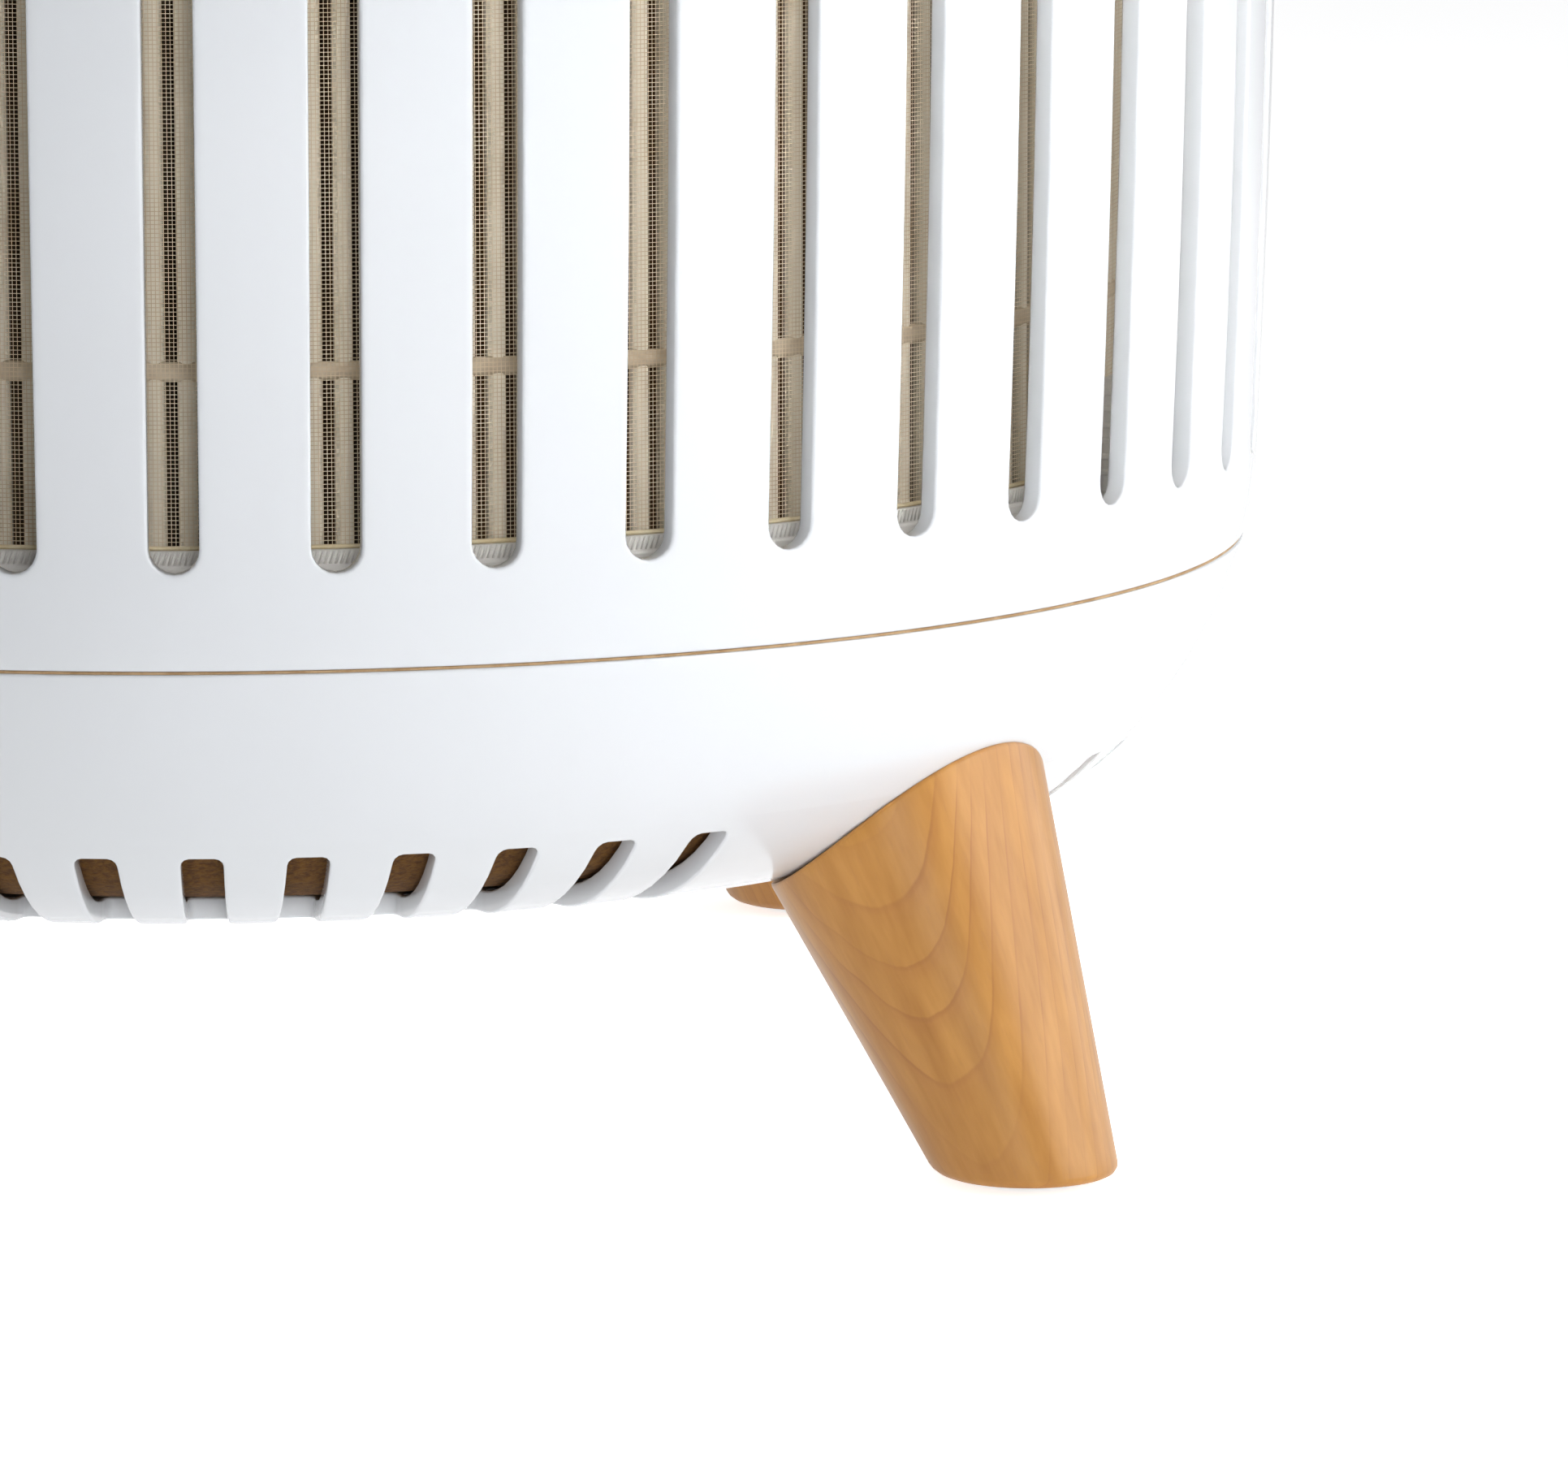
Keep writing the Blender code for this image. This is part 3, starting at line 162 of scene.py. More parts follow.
PLEATS = 200
PLEAT_DEPTH = 26 * MM
PLEAT_CREST_R = NET_HIGH.x - 1.3 * MM
NET_PITCH = 0.56 * MM
NET_COVER = 0.17
CAP_RIBS = 1160
CORE_TILES = 24
CORE_ROWS = 10
GLUE_HEIGHTS = (114 * MM, 168 * MM, 222 * MM)

# ---------------------------------------------------------------- top and fan

GRILLE_SLITS = 72
GRILLE_HUB_R = 70 * MM
GRILLE_WALL = 3.6 * MM
BUTTONS = ("power", "speed", "timer", "sleep")
BUTTON_RING = 40 * MM
BUTTON_TURN = math.radians(36)
PANEL_PLATE = 3.8 * MM
BLADES = 9
PLATE_RIBS = 16

# ---------------------------------------------------------------- light

STUDIO_LIGHT = 0.18
# how bright the floor is to the camera, and to everything else
FLOOR_GLOW = 0.77
FLOOR_LIGHT = 0.40
LAMP_WHITE = (1.0, 0.995, 0.985)


def body_radius(z, inset=0.0):
    """Radius of the body's skin at a height, or of a skin that is set in from it."""
    z = min(z, 2 * EQUATOR_Z - z)
    if z >= LOW_SHOULDER_Z:
        share = (EQUATOR_Z - z) / (EQUATOR_Z - LOW_SHOULDER_Z)
        return BODY_R - inset - SIDE_BULGE * share**2
    drop = (LOW_SHOULDER_Z - z) / (SHOULDER_RISE - inset)
    return FLAT_R + (SHOULDER_RUN - inset) * math.sqrt(max(0.0, 1 - drop * drop))


def shoulder_z(radius, inset=0.0):
    """Height of the lower shoulder at a radius, or of a skin that is set in from it."""
    run = max(0.0, min(1.0, (radius - FLAT_R) / (SHOULDER_RUN - inset)))
    return LOW_SHOULDER_Z - (SHOULDER_RISE - inset) * math.sqrt(1 - run * run)


def under_bowl(radius, gap):
    """Height of a point that hangs a gap under the bowl's outside."""
    return shoulder_z(radius, -gap) if radius > FLAT_R else UNDERSIDE_Z - gap


def drum_skin(z, depth):
    """Radius and height of a point under the drum's skin."""
    return body_radius(z) - depth, z


def bowl_skin(radius, depth):
    """Radius and height of a point under the bowl's skin, where its outside has that radius."""
    run = (radius - FLAT_R) / SHOULDER_RUN
    if run <= 0:
        return radius, UNDERSIDE_Z + depth
    rise = math.sqrt(max(0.0, 1 - run * run))
    square = Vector((run / SHOULDER_RUN, -rise / SHOULDER_RISE)).normalized()
    return radius - square.x * depth, LOW_SHOULDER_Z - SHOULDER_RISE * rise - square.y * depth


def arc_of_bowl(inset, top_z, steps, start_radius=FLAT_R):
    """Points up the bowl's shoulder from a radius to a height."""
    start = math.acos((start_radius - FLAT_R) / (SHOULDER_RUN - inset))
    end = math.asin((LOW_SHOULDER_Z - top_z) / (SHOULDER_RISE - inset))
    points = []
    for step in range(steps + 1):
        angle = start + (end - start) * step / steps
        radius = FLAT_R + (SHOULDER_RUN - inset) * math.cos(angle)
        points.append((radius, LOW_SHOULDER_Z - (SHOULDER_RISE - inset) * math.sin(angle)))
    return points


# ---------------------------------------------------------------- mesh helpers


def polar(bearing, radius, z):
    """The point at a bearing, a distance from the axis and a height."""
    return Vector((radius * math.sin(bearing), -radius * math.cos(bearing), z))


def towards(bearing, radius=0.0, z=0.0):
    """The frame at a bearing: its X axis points outwards and its Z axis up."""
    turn = Matrix.Rotation(bearing - math.pi / 2, 4, "Z")
    return turn @ Matrix.Translation((radius, 0, z))


def softened(outline, radius, steps=3):
    """A closed outline with its corners rounded, apart from the blunt ones and those on the axis."""
    points = []
    size = len(outline)
    for index in range(size):
        here = Vector(outline[index])
        before = Vector(outline[index - 1]) - here
        after = Vector(outline[(index + 1) % size]) - here
        on_axis = here.x < 1e-6
        doubled = before.length < 1e-7 or after.length < 1e-7
        if on_axis or doubled or before.angle(after) > math.radians(150):
            points.append(tuple(here))
            continue
        reach = radius / math.tan(before.angle(after) / 2)
        reach = min(reach, before.length * 0.45, after.length * 0.45)
        first = here + before.normalized() * reach
        last = here + after.normalized() * reach
        for step in range(steps + 1):
            share = step / steps
            bend = (1 - share) ** 2 * first + 2 * share * (1 - share) * here + share**2 * last
            points.append(tuple(bend))
    return points


def wall_between(bm, first, second):
    """Faces between two closed rows of as many points."""
    for k in range(len(first)):
        n = (k + 1) % len(first)
        bm.faces.new((first[k], first[n], second[n], second[k]))


def fan_of(bm, hub, row, upwards):
    """Faces from a hub to a closed row of points."""
    for k in range(len(row)):
        n = (k + 1) % len(row)
        bm.faces.new((row[k], row[n], hub) if upwards else (hub, row[n], row[k]))


def net_of(bm, rows):
    """Faces between open rows of as many points."""
    for lower, upper in zip(rows, rows[1:]):
        for k in range(len(lower) - 1):
            bm.faces.new((lower[k], lower[k + 1], upper[k + 1], upper[k]))


def turned(outline, steps=180, bm=None, first=0.0, closed=True):
    """A shape turned about Z from an outline of (radius, height) points."""
    bm = bm or bmesh.new()
    rings = []
    for radius, z in outline:
        on_axis = radius < 1e-7
        bearings = [0.0] if on_axis else [first + math.tau * k / steps for k in range(steps)]
        rings.append([bm.verts.new(polar(bearing, 0 if on_axis else radius, z)) for bearing in bearings])
    pairs = list(zip(rings, rings[1:]))
    if closed:
        pairs.append((rings[-1], rings[0]))
    for low, high in pairs:
        if len(low) == len(high) > 1:
            wall_between(bm, low, high)
        elif len(low) < len(high):
            fan_of(bm, low[0], high, False)
        elif len(high) < len(low):
            fan_of(bm, high[0], low, True)
    return bm


def ring(inner, outer, low, high, soft, steps):
    """A square-cut ring with softened edges."""
    outline = [(inner, low), (outer, low), (outer, high), (inner, high)]
    return turned(softened(outline, soft), steps)


def moved(bm, matrix):
    """The same bmesh, turned and shifted by the matrix."""
    bmesh.ops.transform(bm, matrix=matrix, verts=bm.verts[:])
    return bm


def slab(size_x, size_y, low, high, soft, matrix):
    """A block with softened edges, set in place."""
    bm = bmesh.new()
    bmesh.ops.create_cube(bm, size=1)
    scale = Matrix.Diagonal((size_x, size_y, high - low, 1))
    moved(bm, Matrix.Translation((0, 0, (low + high) / 2)) @ scale)
    bmesh.ops.bevel(bm, geom=bm.edges[:], offset=soft, segments=3, affect="EDGES", profile=0.5)
    return moved(bm, matrix)


def prism(outline, low, high):
    """An upright block with that outline."""
    bm = bmesh.new()
    bottom = [bm.verts.new((x, y, low)) for x, y in outline]
    top = [bm.verts.new((x, y, high)) for x, y in outline]
    bm.faces.new(bottom[::-1])
    bm.faces.new(top)
    wall_between(bm, bottom, top)
    return bm


def mesh_from(bm, name):
    """A mesh made from the bmesh, which is used up."""
    mesh = bpy.data.meshes.new(name)
    bm.to_mesh(mesh)
    bm.free()
    return mesh


def placed(name, data):
    """A new object in the scene."""
    thing = bpy.data.objects.new(name, data)
    bpy.context.scene.collection.objects.link(thing)
    return thing


def result_of(thing):
    """The plain mesh that an object's modifiers give."""
    bpy.context.view_layer.update()
    graph = bpy.context.evaluated_depsgraph_get()
    return bpy.data.meshes.new_from_object(thing.evaluated_get(graph))


def read_back(mesh):
    """A bmesh of the mesh, which is used up."""
    bm = bmesh.new()
    bm.from_mesh(mesh)
    bpy.data.meshes.remove(mesh)
    return bm


def together(*parts):
    """The parts joined into the first one. The others are used up."""
    bm = parts[0]
    for part in parts[1:]:
        mesh = mesh_from(part, "part")
        bm.from_mesh(mesh)
        bpy.data.meshes.remove(mesh)
    return bm


def made(name, bm, material, body, stands_for=(), weld=True, recalc=True, sharp=None):
    """The finished piece: a plain mesh at the origin that rides on its body."""
    if weld:
        bmesh.ops.remove_doubles(bm, verts=bm.verts[:], dist=2e-6)
    if recalc:
        bmesh.ops.recalc_face_normals(bm, faces=bm.faces[:])
    mesh = mesh_from(bm, name)
    mesh.shade_smooth()
    if sharp:
        mesh.set_sharp_from_angle(angle=math.radians(sharp))
    mesh.materials.clear()
    mesh.materials.append(material)
    thing = placed(name, mesh)
    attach(thing, body)
    if stands_for:
        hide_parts(*stands_for)
    return thing


def cut_through(thing, *cutters):
    """Takes the cutters' shapes out of a finished white piece."""
    bm = together(*cutters)
    bmesh.ops.recalc_face_normals(bm, faces=bm.faces[:])
    cutter = placed("holes", mesh_from(bm, "holes"))
    modifier = thing.modifiers.new("Holes", "BOOLEAN")
    modifier.object = cutter
    modifier.solver = "EXACT"
    result = result_of(thing)
    thing.modifiers.clear()
    thing.data = result
    result.materials.clear()
    result.materials.append(WHITE)
    result.set_sharp_from_angle(angle=math.radians(35))
    bpy.data.objects.remove(cutter, do_unlink=True)


# ---------------------------------------------------------------- copies round the axis


def copies_tree():
    """A node tree that sets copies of a mesh round the axis, at equal turns."""
    tree = bpy.data.node_groups.new("copies round the axis", "GeometryNodeTree")
    for name, kind in (
        ("Geometry", "Geometry"),
        ("Copies", "Int"),
        ("First turn", "Float"),
        ("Turn between", "Float"),
        ("Weld", "Float"),
        ("Finish", "Material"),
    ):
        tree.interface.new_socket(name, in_out="INPUT", socket_type=f"NodeSocket{kind}")
    tree.interface.new_socket("Geometry", in_out="OUTPUT", socket_type="NodeSocketGeometry")
    nodes = tree.nodes
    given = nodes.new("NodeGroupInput").outputs
    result = nodes.new("NodeGroupOutput")
    points = nodes.new("GeometryNodePoints")
    index = nodes.new("GeometryNodeInputIndex")
    turn = nodes.new("ShaderNodeMath")
    turn.operation = "MULTIPLY_ADD"
    angles = nodes.new("ShaderNodeCombineXYZ")
    setting = nodes.new("GeometryNodeInstanceOnPoints")
    real = nodes.new("GeometryNodeRealizeInstances")
    weld = nodes.new("GeometryNodeMergeByDistance")
    finish = nodes.new("GeometryNodeSetMaterial")
    for source, target in (
        (given["Copies"], points.inputs["Count"]),
        (index.outputs[0], turn.inputs[0]),
        (given["Turn between"], turn.inputs[1]),
        (given["First turn"], turn.inputs[2]),
        (turn.outputs[0], angles.inputs["Z"]),
        (points.outputs[0], setting.inputs["Points"]),
        (given["Geometry"], setting.inputs["Instance"]),
        (angles.outputs[0], setting.inputs["Rotation"]),
        (setting.outputs[0], real.inputs[0]),
        (real.outputs[0], weld.inputs["Geometry"]),
        (given["Weld"], weld.inputs["Distance"]),
        (weld.outputs[0], finish.inputs["Geometry"]),
        (given["Finish"], finish.inputs["Material"]),
        (finish.outputs[0], result.inputs[0]),
    ):
        tree.links.new(source, target)
    return tree


COPIES_TREE = copies_tree()


def round_the_axis(bm, copies, step, start=0.0, weld=2e-6):
    """Copies of bm at equal turns about Z, through the node tree, as one new bmesh."""
    mesh = mesh_from(bm, "one copy")
    carrier = placed("one copy", mesh)
    modifier = carrier.modifiers.new("Copies", "NODES")
    modifier.node_group = COPIES_TREE
    values = {"Copies": copies, "First turn": start, "Turn between": step, "Weld": weld}
    for item in COPIES_TREE.interface.items_tree:
        if item.in_out == "INPUT" and item.name in values:
            modifier[item.identifier] = values[item.name]
    copies_bm = read_back(result_of(carrier))
    bpy.data.objects.remove(carrier, do_unlink=True)
    bpy.data.meshes.remove(mesh)
    return copies_bm


# ---------------------------------------------------------------- a pierced tile


def slot_loop(slot, grow, rows, arc):
    """Points (across, along) round a slot grown by grow: its right side, top, left side and bottom."""
    half_width, low, high, corner = slot
    half, c = half_width + grow, corner + grow
    low, high = low - grow, high + grow
    low_c, high_c = low + c, high - c
    right = [(half, low_c + (high_c - low_c) * k / rows) for k in range(rows + 1)]
    top = []
    for k in range(1, arc + 1):
        angle = math.pi / 2 * k / arc
        top.append((half - c + c * math.cos(angle), high_c + c * math.sin(angle)))
    mirrored = [(-x, y) for x, y in top[::-1]]
    if half - c < 1e-6:
        mirrored = mirrored[1:]
    top += mirrored
    left = [(-x, y) for x, y in right[::-1]]
    bottom = [(-x, low + high - y) for x, y in top]
    return right, top, left, bottom


def tile_rim(pitch, low, high, slot, rows, arc):
    """Points (bearing, along) of a tile's border, side by side with those of its slot."""
    slot_right, slot_top, _, _ = slot_loop(slot, 0, rows, arc)
    across = len(slot_top) - 1
    right = [(pitch / 2, v) for _, v in slot_right]
    top = [(pitch / 2 - pitch * k / across, high) for k in range(across + 1)]
    left = [(-a, v) for a, v in right[::-1]]
    bottom = [(-a, low) for a, _ in top]
    return right, top, left, bottom


def plain_tile(skin, pitch, low, high, slot, wall, rows, arc):
    """A tile with no slot, whose border's points meet those of a pierced one."""
    right, top, _, _ = tile_rim(pitch, low, high, slot, rows, arc)
    bm = bmesh.new()
    heights = [low] + [v for _, v in right] + [high]
    bearings = [a for a, _ in top[::-1]]
    for depth, across in ((0, bearings), (wall, bearings[::-1])):
        net_of(bm, [[bm.verts.new(polar(a, *skin(v, depth))) for a in across] for v in heights])
    return bm


def pierced_tile(skin, pitch, low, high, slot, wall, rows, arc, soft):
    """One pitch of a wall that is turned about Z, with a slot through its middle.

    skin gives the radius and height for a place along the outline and a depth under the skin.
    slot is its half width, its two ends along the outline, and its corner radius. The number of
    steps across the tile is given back with it.
    """
    sides = tile_rim(pitch, low, high, slot, rows, arc)
    rim = [point for side in sides for point in side]
    # each row: its place from the border, 0, to the slot, 1, its depth, and how far the slot is grown
    flat = soft * 2.2
    rows_in = [(0, 0, 0), (0.35, 0, flat), (0.7, 0, flat), (1, 0, flat), (1, 0, soft)]
    quarter = [math.pi / 2 * step / 3 for step in range(4)]
    rows_in += [(1, soft * (1 - math.cos(a)), soft * (1 - math.sin(a))) for a in quarter[1:]]
    rows_in += [(1, wall * 0.5, 0)]
    rows_in += [(1, wall - soft * (1 - math.sin(a)), soft * (1 - math.cos(a))) for a in quarter]
    rows_in += [(1, wall, flat), (0.5, wall, flat), (0, wall, 0)]
    bm = bmesh.new()
    made_rows = []
    for share, depth, grow in rows_in:
        around = [point for side in slot_loop(slot, grow, rows, arc) for point in side]
        row = []
        for (rim_angle, rim_v), (x, v) in zip(rim, around):
            angle = rim_angle + (x / skin(v, 0)[0] - rim_angle) * share
            row.append(bm.verts.new(polar(angle, *skin(rim_v + (v - rim_v) * share, depth))))
        made_rows.append(row)
    for outer, inner in zip(made_rows, made_rows[1:]):
        wall_between(bm, outer, inner)
    return bm, len(sides[1]) - 1


# ---------------------------------------------------------------- finishes


def set_stops(node, stops):
    """Sets a colour ramp's stops: each a place with a colour, or with one number for a grey."""
    band = node.color_ramp
    band.interpolation = "EASE"
    while len(band.elements) < len(stops):
        band.elements.new(0.5)
    for element, (place, colour) in zip(band.elements, stops):
        element.position = place
        element.color = (*((colour,) * 3 if isinstance(colour, float) else colour), 1)


class Finish:
    """A Principled material and the few nodes that feed it."""

    def __init__(self, name, colour, roughness, metallic=0.0, **sockets):
        self.material = bpy.data.materials.new(name)
        self.material.use_nodes = True
        self.tree = self.material.node_tree
        self.shader = self.tree.nodes["Principled BSDF"]
        self.shader.inputs["Base Color"].default_value = (*colour, 1)
        self.shader.inputs["Roughness"].default_value = roughness
        self.shader.inputs["Metallic"].default_value = metallic
        for socket, value in sockets.items():
            self.shader.inputs[socket.replace("_", " ")].default_value = value
        self.material.diffuse_color = (*colour, 1)

    def node(self, kind, **settings):
        node = self.tree.nodes.new(kind)
        for name, value in settings.items():
            setattr(node, name, value)
        return node

    def link(self, source, target):
        self.tree.links.new(source, target)

    def coordinates(self, scale=(1, 1, 1), kind="Object"):
        """Places on the piece. kind is Object, UV or the name of an attribute."""
        if kind in ("Object", "UV"):
            source = self.node("ShaderNodeTexCoord").outputs[kind]
        else:
            source = self.node("ShaderNodeAttribute", attribute_name=kind).outputs["Vector"]
        mapping = self.node("ShaderNodeMapping")
        mapping.inputs["Scale"].default_value = scale
        self.link(source, mapping.inputs["Vector"])
        return mapping.outputs["Vector"]

    def noise(self, vector, scale, detail=3.0, roughness=0.5):
        noise = self.node("ShaderNodeTexNoise")
        noise.inputs["Scale"].default_value = scale
        noise.inputs["Detail"].default_value = detail
        noise.inputs["Roughness"].default_value = roughness
        self.link(vector, noise.inputs["Vector"])
        return noise.outputs["Fac"]

    def ramp(self, value, *stops):
        ramp = self.node("ShaderNodeValToRGB")
        set_stops(ramp, stops)
        self.link(value, ramp.inputs["Fac"])
        return ramp.outputs["Color"]

    def maths(self, operation, first, second=0.0, third=0.0):
        """A sum worked on numbers or sockets."""
        node = self.node("ShaderNodeMath", operation=operation)
        for socket, value in zip(node.inputs, (first, second, third)):
            if isinstance(value, (int, float)):
                socket.default_value = value
            else:
                self.link(value, socket)
        return node.outputs[0]

    def mix(self, share, first, second):
        """Two colours mixed. share, first and second are sockets or values."""
        node = self.node("ShaderNodeMix", data_type="RGBA")
        for socket, value in ((0, share), (6, first), (7, second)):
            if isinstance(value, float):
                node.inputs[socket].default_value = value
            elif isinstance(value, tuple):
                node.inputs[socket].default_value = (*value, 1)
            else:
                self.link(value, node.inputs[socket])
        return node.outputs[2]

    def length(self, first, second):
        """The long side of a right-angled triangle."""
        squares = [self.maths("MULTIPLY", side, side) for side in (first, second)]
        return self.maths("SQRT", self.maths("ADD", *squares))

    def parts(self, vector):
        split = self.node("ShaderNodeSeparateXYZ")
        self.link(vector, split.inputs[0])
        return split.outputs

    def combined(self, value):
        joined = self.node("ShaderNodeCombineXYZ")
        self.link(value, joined.inputs[0])
        return joined.outputs[0]

    def colour(self, socket):
        self.link(socket, self.shader.inputs["Base Color"])

    def roughness(self, socket):
        self.link(socket, self.shader.inputs["Roughness"])

    def bump(self, height, strength, distance):
        bump = self.node("ShaderNodeBump")
        bump.inputs["Strength"].default_value = strength
        bump.inputs["Distance"].default_value = distance
        self.link(height, bump.inputs["Height"])
        self.link(bump.outputs["Normal"], self.shader.inputs["Normal"])


def moulded(name, colour, roughness, spread, grain, depth, **sockets):
    """Moulded plastic: its colour and gloss drift a little, over a very fine skin."""
    f = Finish(name, colour, roughness, **sockets)
    where = f.coordinates()
    drift = f.noise(where, 14, 4)
    low = tuple(c * (1 - spread) for c in colour)
    high = tuple(min(1, c * (1 + spread)) for c in colour)
    f.colour(f.ramp(drift, (0.3, low), (0.7, high)))
    gloss = f.noise(where, 60, 2)
    f.roughness(f.maths("MULTIPLY_ADD", gloss, roughness * 0.3, roughness * 0.85))
    f.bump(f.noise(where, grain, 2), depth, 0.02 * MM)
    return f.material


def white_gloss():
    colour = (0.70, 0.725, 0.755)
    coat = {"Coat_Weight": 0.5, "Coat_Roughness": 0.04}
    return moulded("white gloss plastic", colour, 0.13, 0.012, 900, 0.03, **coat)


def maple():
    """Lacquered maple: growth rings cut at a slant, fine pores and a slow drift of colour."""
    f = Finish("maple", (0.60, 0.30, 0.10), 0.40, Coat_Weight=0.08, Coat_Roughness=0.3)
    where = f.coordinates(kind="grain")
    x, y, z = f.parts(where)
    sway = f.noise(f.coordinates((1, 1, 0.35), "grain"), 24, 1, 0.4)
    ripple = f.noise(f.coordinates((1, 1, 0.10), "grain"), 170, 2, 0.5)
    # the tree's heart runs well behind the face and leans away from it with height
    behind = f.maths("ADD", y, f.maths("MULTIPLY_ADD", z, 0.05, 0.046))
    aside = f.maths("ADD", x, f.maths("MULTIPLY_ADD", sway, 0.010, -0.005))
    far = f.length(behind, f.maths("MULTIPLY", aside, 0.9))
    wavy = f.maths("MULTIPLY_ADD", ripple, 0.0005, f.maths("MULTIPLY_ADD", sway, 0.006, far))
    uneven = f.noise(f.combined(wavy), 170, 1, 0.5)
    rings = f.maths("MULTIPLY_ADD", wavy, RINGS_A_METRE, f.maths("MULTIPLY", uneven, 1.6))
    # each ring darkens slowly and ends at once
    late = f.ramp(f.maths("FRACT", rings), (0.0, 0.0), (0.55, 0.08), (0.84, 0.45), (0.95, 1.0), (1.0, 0.0))
    late = f.maths("MULTIPLY", late, f.ramp(f.noise(where, 55, 2, 0.5), (0.36, 0.25), (0.64, 1.0)))
    fibres = f.noise(f.coordinates((1, 1, 0.03), "grain"), 1700, 2, 0.6)
    strands = f.noise(f.coordinates((1, 1, 0.02), "grain"), 330, 3, 0.6)
    pores = f.ramp(fibres, (0.55, 0.0), (0.78, 1.0))
    wood = f.mix(strands, (0.32, 0.126, 0.014), (0.61, 0.304, 0.072))
    wood = f.mix(f.maths("MULTIPLY", late, 0.60), wood, (0.30, 0.105, 0.024))
    f.colour(f.mix(f.maths("MULTIPLY", pores, 0.22), wood, (0.36, 0.16, 0.05)))
    f.roughness(f.maths("MULTIPLY_ADD", fibres, 0.12, 0.28))
    f.bump(f.maths("MULTIPLY_ADD", late, 0.3, fibres), 0.10, 0.04 * MM)
    return f.material


def filter_paper():
    """Cream paper on the crests of the folds, with painted shade in dark brown down inside them."""
    f = Finish("pleated paper", (0.94, 0.86, 0.71), 0.95)
    where = f.coordinates()
    x, y, _ = f.parts(where)
    # painted shade: the paper turns dark brown with depth down into each fold, where shade falls
    height = f.maths("SUBTRACT", f.length(x, y), PLEAT_CREST_R - 1.9 * MM)
    crest = f.ramp(f.maths("MULTIPLY", height, 1 / (1.5 * MM)), (0.0, 0.0), (1.0, 1.0))
    pulp = f.noise(where, 900, 4, 0.65)
    stains = f.noise(where, 45, 3)
    paper = f.mix(pulp, (0.97, 0.88, 0.72), (0.99, 0.94, 0.82))
    paper = f.mix(f.maths("MULTIPLY", stains, 0.25), paper, (0.88, 0.76, 0.56))
    f.colour(f.mix(crest, (0.13, 0.07, 0.028), paper))
    f.bump(pulp, 0.5, 0.2 * MM)
    return f.material


def woven_net():
    """Fine square net on the piece's own map, in metres: two sets of threads, clear between them."""
    f = Finish("woven net", (0.58, 0.50, 0.38), 0.75)
    u, v, _ = f.parts(f.coordinates((1 / NET_PITCH, 1 / NET_PITCH, 1), "UV"))

    def on_thread(along):
        # 0 in the thread's middle, 1 between two threads
        off_middle = f.maths("ABSOLUTE", f.maths("SUBTRACT", f.maths("FRACT", along), 0.5))
        return f.maths("LESS_THAN", f.maths("MULTIPLY", off_middle, 2), NET_COVER)

    f.link(f.maths("MAXIMUM", on_thread(u), on_thread(v)), f.shader.inputs["Alpha"])
    dirt = f.noise(f.coordinates(), 120, 3)
    f.colour(f.ramp(dirt, (0.3, (0.72, 0.57, 0.38)), (0.7, (0.88, 0.75, 0.56))))
    return f.material


def metal(name, colour, roughness, lines=(1, 1, 40)):
    """Brushed or drawn metal."""
    f = Finish(name, colour, roughness, 1.0)
    brushed = f.noise(f.coordinates(lines), 260, 3, 0.6)
    low = tuple(c * 0.82 for c in colour)
    f.colour(f.ramp(brushed, (0.3, low), (0.7, colour)))
    f.roughness(f.maths("MULTIPLY_ADD", brushed, 0.2, roughness - 0.08))
    f.bump(brushed, 0.08, 0.05 * MM)
    return f.material


def fibrous(name, colour, second, scale, depth):
    """Felt, foam, rubber or glue: two shades over a fuzzy skin."""
    f = Finish(name, colour, 0.95)
    where = f.coordinates()
    fuzz = f.noise(where, scale, 4, 0.7)
    f.colour(f.ramp(fuzz, (0.35, colour), (0.65, second)))
    f.bump(fuzz, depth, 0.4 * MM)
    return f.material


def speckled_board():
    """Solder-masked board: copper tracks show as paler lines under the green."""
    f = Finish("circuit board", (0.02, 0.16, 0.07), 0.4)
    tracks = f.node("ShaderNodeTexBrick", offset=0.5)
    tracks.inputs["Scale"].default_value = 160
    tracks.inputs["Mortar Size"].default_value = 0.03
    for socket, colour in (
        ("Color1", (0.015, 0.13, 0.055, 1)),
        ("Color2", (0.02, 0.17, 0.07, 1)),
        ("Mortar", (0.06, 0.32, 0.15, 1)),
    ):
        tracks.inputs[socket].default_value = colour
    f.link(f.coordinates(), tracks.inputs["Vector"])
    f.colour(tracks.outputs["Color"])
    return f.material


WHITE = white_gloss()
MAPLE = maple()
PAPER = filter_paper()
NET = woven_net()
GREY = moulded("grey plastic", (0.62, 0.62, 0.60), 0.42, 0.03, 700, 0.12)
PALE_GREY = moulded("pale grey plastic", (0.93, 0.91, 0.87), 0.5, 0.02, 700, 0.12)
BLACK = moulded("black plastic", (0.035, 0.035, 0.04), 0.42, 0.08, 700, 0.15)
SOFT_WHITE = moulded("button plastic", (0.78, 0.80, 0.82), 0.3, 0.012, 900, 0.05)
GUIDE_WHITE = moulded("guide plastic", (0.95, 0.95, 0.94), 0.35, 0.02, 900, 0.05)
LIGHT = moulded("light guide", (0.86, 0.89, 0.92), 0.3, 0.02, 900, 0.03, Transmission_Weight=0.15)
ICON = moulded("icon print", (0.30, 0.32, 0.34), 0.5, 0.03, 900, 0.03)
GLUE = fibrous("hot glue", (0.66, 0.54, 0.39), (0.78, 0.67, 0.51), 260, 0.2)
AMBER_GLUE = fibrous("edge glue", (0.78, 0.65, 0.40), (0.88, 0.78, 0.56), 200, 0.2)
# painted shade: a brown finish for the ring that fills the seam's dark tan line
SEAM_SHADE = fibrous("painted seam shade", (0.34, 0.21, 0.10), (0.46, 0.31, 0.17), 300, 0.2)
BROWN_FELT = fibrous("brown felt", (0.075, 0.028, 0.002), (0.15, 0.064, 0.006), 900, 0.8)
